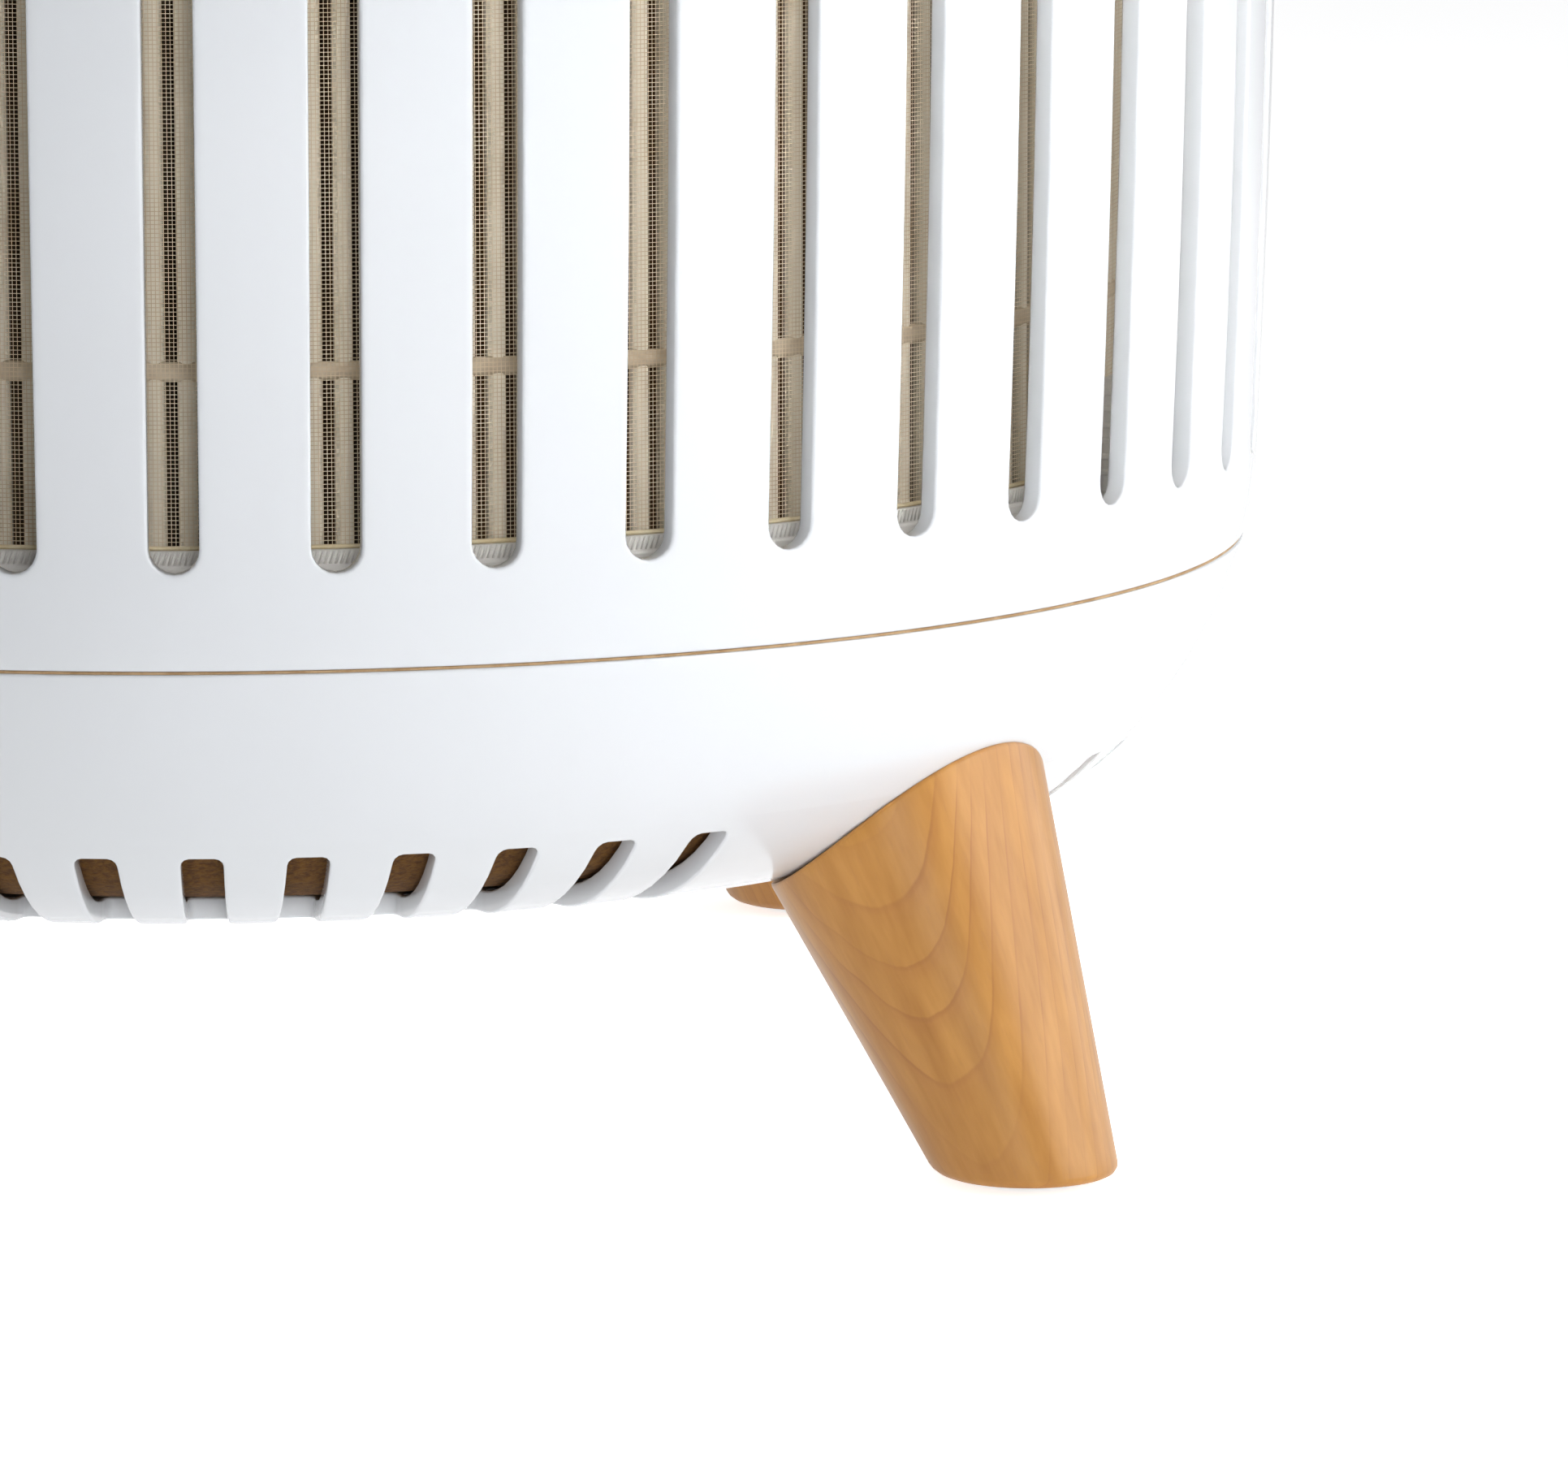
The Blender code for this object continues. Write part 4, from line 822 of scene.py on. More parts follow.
CARBON = fibrous("carbon felt", (0.018, 0.018, 0.018), (0.05, 0.05, 0.05), 1100, 0.8)
FOAM = fibrous("grey foam", (0.10, 0.10, 0.105), (0.19, 0.19, 0.20), 1300, 0.9)
FOOT = fibrous("foot felt", (0.05, 0.045, 0.04), (0.10, 0.09, 0.08), 900, 0.7)
STEEL = metal("zinc-plated steel", (0.66, 0.66, 0.67), 0.34)
COPPER = metal("copper winding", (0.78, 0.36, 0.17), 0.38, (1, 1, 8))
BOARD = speckled_board()


# ---------------------------------------------------------------- base


def revolved_band(bm, outline, pitch, across, tiles):
    """Adds rows turned about Z whose points meet those of a ring of tiles."""
    turned(outline, tiles * across, bm, pitch / 2, closed=False)


def seam_edge(z, side):
    """The rounded end of the body's wall at a seam. side is 1 where the wall ends upwards."""
    points = []
    for step in range(5):
        angle = math.pi / 2 * step / 4
        inset = EDGE_ROUND * (1 - math.cos(angle))
        height = z - side * EDGE_ROUND * (1 - math.sin(angle))
        points.append((body_radius(height) - inset, height))
    return points


def bowl():
    """The bowl with its vents, its rim under the seam and the spigot inside."""
    low, high = VENT_INNER_R - 2.5 * MM, VENT_OUTER_R + 2 * MM
    slot = (VENT_WIDTH / 2, VENT_INNER_R, VENT_OUTER_R, VENT_CORNER)
    shape = (bowl_skin, VENT_PITCH, low, high, slot, WALL, 8, 3)
    quarter = bmesh.new()
    for place in range(TILES_A_QUARTER):
        if place < VENTS_A_QUARTER:
            tile, across = pierced_tile(*shape, 0.35 * MM)
        else:
            tile = plain_tile(*shape)
        quarter = together(quarter, moved(tile, Matrix.Rotation(VENT_PITCH * place, 4, "Z")))
    first = -VENT_PITCH * (VENTS_A_QUARTER - 1) / 2
    bm = round_the_axis(quarter, 4, math.pi / 2, first)
    inner_end, outer_end = bowl_skin(low, WALL), bowl_skin(high, WALL)
    underside = [(0, UNDERSIDE_Z)] + underside_rows() + [bowl_skin(low, 0)]
    spigot = bowl_spigot()
    side = arc_of_bowl(0, SEAM_Z - EDGE_ROUND, 14, high) + seam_edge(SEAM_Z, 1)
    side += [(spigot[0][0] + 0.25 * MM, SEAM_Z)] + spigot
    inside = arc_of_bowl(WALL, shoulder_z(spigot[-1][0], WALL), 14)
    side += [point for point in inside[::-1] if point[0] > outer_end[0] + 0.5 * MM] + [outer_end]
    floor = [inner_end] + [(radius, UNDERSIDE_Z + WALL) for radius in (96 * MM, 70 * MM, 40 * MM, 0)]
    for outline in (underside, side, floor):
        revolved_band(bm, outline, VENT_PITCH, across, VENT_TILES)
    made("bowl", bm, WHITE, "base", ("base_bowl",))


def underside_rows():
    """The flat underside, with a shallow moulded ring in it."""
    flat, eased, sunk = UNDERSIDE_Z, UNDERSIDE_Z + 0.18 * MM, UNDERSIDE_Z + 0.6 * MM
    groove = [(-2.5, flat), (-2, eased), (-1.5, sunk), (1.5, sunk), (2, eased), (2.5, flat)]
    rows = [(UNDERSIDE_RING + across * MM, z) for across, z in groove]
    return [(30 * MM, flat), (60 * MM, flat)] + rows + [(94 * MM, flat)]


def bowl_spigot():
    """The collar inside the seam, which the drum stands round."""
    outer = body_radius(SEAM_Z, WALL) - 0.5 * MM
    inner = outer - 1.8 * MM
    top = BOWL_HIGH.z
    soft = 0.4 * MM
    rows = [(outer, SEAM_Z + 0.3 * MM), (outer, top - soft), (outer - soft, top)]
    return rows + [(inner + soft, top), (inner, top - soft)]


# A brown ring just inside the seam, which is no real part: painted shade and reflected warm light for the
# seam's dark tan line.
def seam_shade_ring():
    outer = body_radius(SEAM_Z) - 0.25 * MM
    bm = ring(outer - 1.6 * MM, outer, SEAM_Z + 0.02 * MM, SEAM_Z + 0.36 * MM, 0.08 * MM, 360)
    made("seam_shade_ring", bm, SEAM_SHADE, "base", ())


def vent_liner():
    """Brown felt behind the vents, a little inside the bowl's wall."""
    outline = [bowl_skin(radius, WALL + 0.5 * MM) for radius in LINER_RADII]
    outline += [bowl_skin(radius, WALL + 2.4 * MM) for radius in LINER_RADII[::-1]]
    made("vent_liner", turned(outline), BROWN_FELT, "base", ())


def leg(name, bearing, grain_start):
    """A tapered peg: its foot is flat with a worn edge, and its top follows the bowl."""
    side = math.copysign(1, bearing)
    out, along = (polar(math.radians(bearing + quarter), 1, 0) for quarter in (0, 90))
    square = Vector((-LEG_LEAN, 0, 1)).normalized()
    bm = bmesh.new()
    grain = bm.verts.layers.float_vector.new("grain")

    def point(turn, z, pinch=0.0):
        radius = LEG_FOOT_R + LEG_TAPER * z - pinch
        return Vector((LEG_STAND - LEG_LEAN * z + radius * math.cos(turn), radius * math.sin(turn), z))

    def vertex(local):
        """A point of the leg with its place in the plank: across it, into it and along it."""
        vert = bm.verts.new(out * local.x + along * local.y + Vector((0, 0, local.z)))
        across = local.x - (LEG_STAND - LEG_LEAN * local.z)
        to_bark = across * math.cos(GRAIN_FACE) - local.y * math.sin(GRAIN_FACE) * side
        aside = across * math.sin(GRAIN_FACE) * side + local.y * math.cos(GRAIN_FACE)
        vert[grain] = Vector((aside, to_bark, local.dot(square) + grain_start))
        return vert

    def top_of(turn):
        """The height at which this side of the leg meets the bowl."""
        low, high = 0.0, 80 * MM
        for _ in range(40):
            z = (low + high) / 2
            place = point(turn, z)
            inside = z > under_bowl(math.hypot(place.x, place.y), LEG_GAP)
            low, high = (low, z) if inside else (z, high)
        return low

    turns = [math.tau * k / LEG_STEPS for k in range(LEG_STEPS)]
    tops = [top_of(turn) for turn in turns]
    rings = []
    for share in (0, 0.12, 0.4, 0.75, 1):
        angle = math.pi / 2 * share
        z, pinch = LEG_LIFT + LEG_EDGE * (1 - math.cos(angle)), LEG_EDGE * (1 - math.sin(angle))
        rings.append([vertex(point(turn, z, pinch)) for turn in turns])
    start, soft = LEG_LIFT + LEG_EDGE, 0.5 * MM
    for row in range(1, LEG_ROWS + 1):
        heights = [start + (top - soft - start) * row / LEG_ROWS for top in tops]
        rings.append([vertex(point(turn, z)) for turn, z in zip(turns, heights)])
    for drop, pinch in ((0.12 * MM, 0.12 * MM), (0, soft)):
        rings.append([vertex(point(turn, top - drop, pinch)) for turn, top in zip(turns, tops)])
    for lower, upper in zip(rings, rings[1:]):
        wall_between(bm, lower, upper)
    fan_of(bm, vertex(Vector((LEG_STAND, 0, LEG_LIFT))), rings[0], False)
    middle = sum((vert.co for vert in rings[-1]), Vector()) / LEG_STEPS
    hub_z = min(under_bowl(math.hypot(middle.x, middle.y), LEG_GAP), middle.z + 1 * MM)
    fan_of(bm, bm.verts.new((middle.x, middle.y, hub_z)), rings[-1], True)
    made(name.replace("leg", "maple_leg"), bm, MAPLE, "base", (name,))


def foot_glide(corner, bearing):
    bm = turned(softened([(0, 0), (8 * MM, 0), (8 * MM, 2.2 * MM), (0, 2.2 * MM)], 0.5 * MM), 48)
    moved(bm, Matrix.Translation(polar(math.radians(bearing), LEG_STAND, 0)))
    made(f"glide_{corner}", bm, FOOT, "base", (f"foot_glide_{corner}",))


def tray():
    """The grey seat that the filter stands in: floor, slope and rim, with ribs on the floor."""
    low, seat = TRAY_LOW.z, CAP_RING_LOW.z - 0.3 * MM
    hole_r, floor_r, rim_r = 20 * MM, 112 * MM, TRAY_RIM_R + 2 * MM
    floor_top, rim_top = low + 3 * MM, seat + 3.2 * MM
    outline = [(hole_r, low), (floor_r, low), (rim_r, seat - 3 * MM), (rim_r, rim_top), (TRAY_RIM_R, rim_top)]
    outline += [(TRAY_RIM_R, seat), (floor_r, seat), (floor_r - 3 * MM, floor_top), (hole_r, floor_top)]
    bm = turned(softened(outline, 0.6 * MM), 270)
    rib = slab(76 * MM, 1.6 * MM, floor_top - 0.5 * MM, floor_top + 2.2 * MM, 0.4 * MM, towards(0, 70 * MM))
    turn = math.tau / TRAY_RIBS
    bm = together(bm, round_the_axis(rib, TRAY_RIBS, turn, turn / 2))
    made("tray", bm, GREY, "base", ("filter_tray",))


def tray_guides():
    """White guides that stand on the tray beside the filter, with fine ribs on them."""
    low = CAP_RING_LOW.z - 3.3 * MM
    guides = []
    for bearing in GUIDE_BEARINGS:
        place = towards(math.radians(bearing), TRAY_RIM_R + 0.3 * MM + GUIDE_DEPTH / 2)
        guides.append(slab(GUIDE_DEPTH, GUIDE_WIDTH, low, GUIDE_TOP_Z, 0.8 * MM, place))
        for step in range(GUIDE_RIBS):
            z = GUIDE_RIB_Z + step * GUIDE_RIB_PITCH
            rib = slab(GUIDE_DEPTH + 0.6 * MM, GUIDE_WIDTH + 0.9 * MM, z, z + 0.9 * MM, 0.3 * MM, place)
            guides.append(rib)
    made("tray_guides", together(*guides), GUIDE_WHITE, "base", ())


def screw(length, head=2 * MM):
    """A pan-head screw: head upwards, its underside at z = 0."""
    wide, shank = SCREW_HEAD_R, SCREW_SHANK_R
    outline = [(0, -length), (shank * 0.4, -length), (shank, -length + shank)]
    turns = int(length / SCREW_THREAD)
    for k in range(turns):
        z = -length + shank + (length - shank) * (k + 0.5) / turns
        outline += [(shank * 0.86, z - 0.25 * MM), (shank, z)]
    outline += [(shank, 0), (wide, 0), (wide, head * 0.45), (wide * 0.85, head * 0.8)]
    outline += [(wide * 0.5, head), (wide * 0.42, head), (wide * 0.3, head * 0.55), (0, head * 0.5)]
    return turned(outline, 20)


def screws():
    """Four screws in the tray, four up into the cap and three in the motor's bracket."""
    bm = moved(screw(13 * MM), Matrix.Translation((0, -TRAY_SCREW_R, TRAY_LOW.z + 3.3 * MM)))
    names = [f"tray_screw_{k}" for k in range(1, 5)]
    made("tray_screws", round_the_axis(bm, 4, math.pi / 2, math.pi / 4), STEEL, "base", names)
    low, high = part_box("cap_screw_1")
    head = 2 * MM
    heads = []
    for bearing in CAP_SCREW_BEARINGS:
        one = moved(screw(high.z - low.z - head), Matrix.Rotation(math.pi, 4, "X"))
        spot = polar(math.radians(bearing), CAP_SCREW_R, low.z + head)
        heads.append(moved(one, Matrix.Translation(spot)))
    names = [f"cap_screw_{k}" for k in range(1, 5)]
    made("cap_screws", together(*heads), STEEL, "housing", names)
    low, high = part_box("motor_screw_1")
    head = 1.4 * MM
    bm = moved(screw(high.z - low.z - head, head), Matrix.Translation((0, -MOTOR_SCREW_R, high.z - head)))
    names = [f"motor_screw_{k}" for k in range(1, 4)]
    made("motor_screws", round_the_axis(bm, 3, math.tau / 3, math.pi / 3), STEEL, "housing", names)


# ---------------------------------------------------------------- filter


def pleats():
    """Folded paper: one fold, set all the way round."""
    half = math.pi / PLEATS
    # (share of the half pitch from the crest, depth under the crest in millimetres)
    flank = [(0.0, 0.0), (0.26, 0.04), (0.44, 0.2), (0.56, 0.6), (0.63, 1.4)]
    flank += [(0.69, 3.0), (0.80, 10.0), (0.94, 23.0), (1.0, PLEAT_DEPTH / MM)]
    profile = [(-share * half, PLEAT_CREST_R - depth * MM) for share, depth in flank[::-1]]
    profile += [(share * half, PLEAT_CREST_R - depth * MM) for share, depth in flank[1:]]
    low, high = NET_LOW.z, NET_HIGH.z
    inner = PLEAT_CREST_R - PLEAT_DEPTH - 1.5 * MM
    bm = bmesh.new()
    heights = [low, 92 * MM, 100 * MM, *GLUE_HEIGHTS, high]
    outside = [[bm.verts.new(polar(a, r, z)) for a, r in profile] for z in heights]
    inside = [[bm.verts.new(polar(a, inner, z)) for a in (-half, half)] for z in (low, high)]
    net_of(bm, outside)
    bm.faces.new((inside[0][0], inside[1][0], inside[1][1], inside[0][1]))
    bm.faces.new(outside[0][::-1] + inside[0])
    bm.faces.new(outside[-1] + inside[1][::-1])
    whole = round_the_axis(bm, PLEATS, 2 * half)
    made("pleats", whole, PAPER, "filter", ("filter_pleats",), recalc=False, sharp=50)


def wandering_ring(radius, z, half_height, thick, wander, seed):
    """A bead of glue laid round the pleats by a slightly unsteady nozzle."""
    steps, corners = 360, 8
    rng = random.Random(seed)
    waves = [(k, rng.uniform(0, math.tau), rng.uniform(0.3, 1) / k**0.5) for k in (3, 7, 16, 33, 61)]
    bm = bmesh.new()
    rings = []
    for step in range(steps):
        bearing = math.tau * step / steps
        drift = sum(size * math.sin(k * bearing + phase) for k, phase, size in waves) * wander
        swell = 1 + 0.125 * sum(size * math.sin(2 * (k * bearing + phase)) for k, phase, size in waves)
        points = []
        for corner in range(corners):
            angle = math.tau * corner / corners
            height = z + drift + half_height * swell * math.sin(angle)
            points.append(bm.verts.new(polar(bearing, radius + thick * math.cos(angle), height)))
        rings.append(points)
    for here, there in zip(rings, rings[1:] + rings[:1]):
        wall_between(bm, there, here)
    return bm


def glue():
    """Three bands round the pleats, and a thin line along each end cap."""
    radius = NET_HIGH.x - 1.5 * MM
    bands = [
        wandering_ring(radius, z, 1.25 * MM, 0.45 * MM, 0.12 * MM, seed)
        for seed, z in enumerate(GLUE_HEIGHTS, 3)
    ]
    made("glue_bands", together(*bands), GLUE, "filter", ())
    radius = NET_HIGH.x - 0.2 * MM
    edges = [
        wandering_ring(radius, z, 0.32 * MM, 0.4 * MM, 0.04 * MM, seed)
        for seed, z in ((11, CAP_RING_HIGH.z + 0.2 * MM), (12, TOP_RING_LOW.z - 0.2 * MM))
    ]
    made("edge_glue", together(*edges), AMBER_GLUE, "filter", ())


def net():
    """A cylinder of net, mapped in metres so that its threads keep their size."""
    radius = NET_HIGH.x - 0.1 * MM
    low, high = CAP_RING_HIGH.z - 1.5 * MM, TOP_RING_LOW.z + 1.5 * MM
    steps = 360
    span = math.tau * radius / steps
    bm = bmesh.new()
    uv = bm.loops.layers.uv.new("net")
    bottom, top = [
        [bm.verts.new(polar(math.tau * k / steps, radius, z)) for k in range(steps)] for z in (low, high)
    ]
    wall_between(bm, bottom, top)
    for k, face in enumerate(bm.faces):
        for loop, (u, v) in zip(face.loops, ((k, 0), (k + 1, 0), (k + 1, 1), (k, 1))):
            loop[uv].uv = (u * span, (high - low) * v)
    made("net", bm, NET, "filter", ("filter_net",), recalc=False)


def ribbed_ring(z_low, z_high, radius):
    """Fine slanting ribs on an end cap's rim."""
    half, lean, proud = math.pi / CAP_RIBS * 0.55, 0.0045, 0.2 * MM
    corners = ((-half, radius - proud), (0, radius), (half, radius - proud), (0, radius - 2 * proud))
    bm = bmesh.new()
    bottom = [bm.verts.new(polar(bearing, r, z_low)) for bearing, r in corners]
    top = [bm.verts.new(polar(bearing + lean, r, z_high)) for bearing, r in corners]
    wall_between(bm, bottom, top)
    bm.faces.new(bottom[::-1])
    bm.faces.new(top)
    return round_the_axis(bm, CAP_RIBS, math.tau / CAP_RIBS, 0.0, 0.0)


def end_caps():
    """The filter's two end caps, ribbed on their rims, and the foam ring on the upper one."""
    outer = CAP_RING_HIGH.x
    rim, flush = outer - 1.4 * MM, outer - 0.25 * MM
    low, high = CAP_RING_LOW.z, CAP_RING_HIGH.z
    outline = [(0, low), (outer, low), (outer, low + 3.6 * MM), (flush, low + 3.9 * MM), (flush, high)]
    outline += [(rim, high), (rim, low + 3 * MM), (0, low + 3 * MM)]
    bm = turned(softened(outline, 0.25 * MM), 270)
    bm = together(bm, ribbed_ring(low + 4.15 * MM, high - 0.1 * MM, outer))
    made("filter_floor", bm, PALE_GREY, "filter", ("filter_bottom_cap",), weld=False)
    low, high = TOP_RING_LOW.z, TOP_RING_HIGH.z
    opening = SEAL_HIGH.x - 12 * MM
    outline = [(opening, high - 3 * MM), (rim, high - 3 * MM), (rim, low), (flush, low)]
    outline += [(flush, low + 1.8 * MM), (outer, low + 2.1 * MM), (outer, high), (opening, high)]
    bm = turned(softened(outline, 0.25 * MM), 270)
    bm = together(bm, ribbed_ring(low + 0.1 * MM, low + 1.7 * MM, outer))
    made("filter_lid", bm, PALE_GREY, "filter", ("filter_top_cap",), weld=False)
    bm = ring(opening, SEAL_HIGH.x, SEAL_LOW.z, SEAL_HIGH.z, 1 * MM, 120)
    made("seal_ring", bm, FOAM, "filter", ("filter_seal",))


def carbon_felt():
    bm = ring(CARBON_HIGH.x - 6 * MM, CARBON_HIGH.x, CARBON_LOW.z, CARBON_HIGH.z, 0.5 * MM, 120)
    made("carbon_felt", bm, CARBON, "filter", ("carbon_sleeve",))


def core_basket():
    """The tube inside the filter: rows of windows between two plain ends."""
    radius, wall = CORE_HIGH.x, 2.4 * MM
    low, high = CORE_LOW.z + 4 * MM, CORE_HIGH.z - 4 * MM
    pitch = math.tau / CORE_TILES
    rise = (high - low) / CORE_ROWS

    def core_skin(z, depth):
        return radius - depth, z

    column = bmesh.new()
    for row in range(CORE_ROWS):
        z = low + rise * row
        window = (8 * MM, z + 2 * MM, z + rise - 2 * MM, 2 * MM)
        tile, across = pierced_tile(core_skin, pitch, z, z + rise, window, wall, 2, 2, 0.3 * MM)
        column = together(column, tile)
    bm = round_the_axis(column, CORE_TILES, pitch)
    for edge, end in ((low, CORE_LOW.z), (high, CORE_HIGH.z)):
        outline = [(radius, edge), (radius, end), (radius - wall, end), (radius - wall, edge)]
        revolved_band(bm, outline, pitch, across, CORE_TILES)
    made("core_basket", bm, BLACK, "filter", ("filter_core",))


# ---------------------------------------------------------------- housing


def drum_foot(top):
    """The drum's wall under its slots: down the outside, round the seam's edge and up the inside."""
    start = SHELL_LOW.z
    rows = [drum_skin(top + (start + EDGE_ROUND - top) * k / 5, 0) for k in range(5)]
    rows += seam_edge(start, -1)
    inner = body_radius(start) - WALL
    rows += [(inner + 0.4 * MM, start), (inner, start + 0.4 * MM)]
    return rows + [drum_skin(z, WALL) for z in (start + 4 * MM, start + 7 * MM, top)]


def drum_head(bottom):
    """The drum's wall over its slots, with the flange for the cap and the ledge for the fan plate."""
    end = SHELL_HIGH.z
    flange_r, flange_top, flange_low = 131.5 * MM, end - 1 * MM, end - 4 * MM
    ledge_r, ledge_top, ledge_low = 138 * MM, PLATE_LOW.z - 0.3 * MM, PLATE_LOW.z - 3.3 * MM
    rows = [drum_skin(bottom + (end - EDGE_ROUND - bottom) * k / 8, 0) for k in range(8)]
    rows += seam_edge(end, 1)
    inner = body_radius(end) - WALL
    rows += [(inner + 0.3 * MM, end), (inner, flange_top), (flange_r, flange_top), (flange_r, flange_low)]
    rows += [drum_skin(z, WALL) for z in (flange_low, 280 * MM, ledge_top)]
    rows += [(ledge_r, ledge_top), (ledge_r, ledge_low), (body_radius(ledge_top) - WALL, ledge_low)]
    return rows + [drum_skin(bottom, WALL)]


def drum_holes():
    """Cutters for the plug's round hole at the rear and the dust sensor's slits on the right."""
    skin, wide = body_radius(INLET_Z), INLET_HOLE_R + 0.6 * MM
    start, end = skin - 12 * MM, skin + 3 * MM
    outline = [(0, start), (INLET_HOLE_R, start), (INLET_HOLE_R, skin - 0.5 * MM), (wide, skin + 0.1 * MM)]
    hole = turned(outline + [(wide, end), (0, end)], 64)
    cutters = [moved(hole, Matrix.Translation((0, 0, INLET_Z)) @ Matrix.Rotation(-math.pi / 2, 4, "X"))]
    low, high = SENSOR_Z - 5 * MM, SENSOR_Z + 5 * MM
    for index in range(SENSOR_SLITS):
        shift = Matrix.Translation((0, (index - (SENSOR_SLITS - 1) / 2) * SENSOR_SLIT_PITCH, 0))
        cutters.append(slab(12 * MM, 1.6 * MM, low, high, 0.5 * MM, shift @ towards(math.pi / 2, skin)))
    return cutters


def drum():
    """The slotted drum: one slotted pitch and one plain pitch, set round, between two plain bands."""
    low, high = SLOT_LOW_Z - 3.2 * MM, SLOT_HIGH_Z + 3.2 * MM
    slot = (SLOT_WIDTH / 2, SLOT_LOW_Z, SLOT_HIGH_Z, SLOT_WIDTH / 2)
    shape = (drum_skin, SLOT_PITCH, low, high, slot, WALL, 16, 5)
    slotted, across = pierced_tile(*shape, EDGE_ROUND)
    first = -SLOT_PITCH * (SLOTS - 1) / 2
    bm = round_the_axis(slotted, SLOTS, SLOT_PITCH, first)
    plain = plain_tile(*shape)
    bm = together(bm, round_the_axis(plain, PLAIN_SLOTS, SLOT_PITCH, first + SLOT_PITCH * SLOTS))
    for outline in (drum_foot(low), drum_head(high)):
        revolved_band(bm, outline, SLOT_PITCH, across, SLOT_TILES)
    thing = made("drum", bm, WHITE, "housing", ("housing_shell",))
    cut_through(thing, *drum_holes())


def top_cover():
    """The domed cap over the drum, with a seat for the grille."""
    low = CAP_LOW.z + 1.1 * MM
    lip, seat = GRILLE_HIGH.x + 0.3 * MM, GRILLE_LOW.z + 2.5 * MM
    brim, shelf, under = lip + 0.5 * MM, lip - 4.5 * MM, seat - 2.5 * MM
    # the cap's shoulder is the bowl's, turned over
    flip = 2 * EQUATOR_Z
    shoulder = [(r, flip - z) for r, z in arc_of_bowl(0, flip - low - EDGE_ROUND, 24) if r > brim]
    brim_z = flip - shoulder_z(brim)
    outline = [(body_radius(low) - WALL, low)] + seam_edge(low, -1)[::-1] + shoulder[::-1]
    outline += [(brim, brim_z), (lip, brim_z - 0.5 * MM), (lip, seat), (shelf, seat), (shelf, under)]
    heights = [under + (low - under) * k / 8 for k in range(8)]
    outline += [(body_radius(z, WALL), z) for z in heights]
    made("top_cover", turned(outline, 360), WHITE, "housing", ("top_cap",))


def grille():
    """The air outlet: a domed ring of slits between a rim and a hub."""
    high, seat, foot = GRILLE_HIGH.z, GRILLE_LOW.z + 2.8 * MM, GRILLE_LOW.z
    outer, hub = GRILLE_HIGH.x, GRILLE_HUB_R
    first, last = hub + 3.5 * MM, 113.5 * MM

    def dome(radius, depth):
        return radius, high - 2 * MM * (radius - hub) / (outer - hub) - depth

    pitch = math.tau / GRILLE_SLITS
    slit = (1.75 * MM, 76 * MM, 111 * MM, 1.75 * MM)
    tile, across = pierced_tile(dome, pitch, first, last, slit, GRILLE_WALL, 8, 3, 0.4 * MM)
    bm = round_the_axis(tile, GRILLE_SLITS, pitch)
    edge_z = dome(outer, 0)[1] - 0.6 * MM
    rim = [dome(last, 0), dome(outer - 0.6 * MM, 0), (outer, edge_z), (outer, seat + 0.3 * MM)]
    rim += [(outer - 0.3 * MM, seat), dome(last, GRILLE_WALL)]
    spout, shelf = 58 * MM, seat - 0.3 * MM
    hub_rows = [dome(first, 0), dome(hub + 0.5 * MM, 0), (hub, high - 0.5 * MM), (hub, shelf), (spout, shelf)]
    hub_rows += [(spout, foot), (hub + 3 * MM, foot), (hub + 3.2 * MM, seat), dome(first, GRILLE_WALL)]
    for outline in (rim, hub_rows):
        revolved_band(bm, outline, pitch, across, GRILLE_SLITS)
    made("grille", bm, WHITE, "housing", ("outlet_grille",))


def button_place(index):
    return Matrix.Translation(polar((index - 1.5) * BUTTON_TURN, BUTTON_RING, 0))


def panel():
    """The round plate with a hole for each button, and the light ring round it."""
    radius, high, low = PANEL_HIGH.x, PANEL_HIGH.z, PANEL_HIGH.z - PANEL_PLATE
    step_r, foot = radius - 3 * MM, PANEL_LOW.z
    outline = [(0, low), (step_r, low), (step_r, foot), (radius, foot), (radius, high), (0, high)]
    plate = turned(softened(outline, 0.5 * MM), 180)
    carrier = made("panel", plate, WHITE, "housing", ("control_panel",))
    hole, wide = 8 * MM, 8.5 * MM
    start, end = low - 1 * MM, high + 2 * MM
    outline = [(0, start), (hole, start), (hole, high - 0.35 * MM), (wide, high + 0.2 * MM)]
    outline += [(wide, end), (0, end)]
    cut_through(carrier, *[moved(turned(outline, 64), button_place(index)) for index in range(len(BUTTONS))])
    bm = ring(RING_HIGH.x - 5.4 * MM, RING_HIGH.x, RING_LOW.z, RING_HIGH.z, 0.5 * MM, 180)
    made("light_band", bm, LIGHT, "housing", ("light_ring",))


def two_sided(centre_line):
    """A closed outline from (middle, half width) pairs: out along one side and back along the other."""
    there = [middle + across for middle, across in centre_line]
    back = [middle - across for middle, across in centre_line]
    return there + back[::-1]


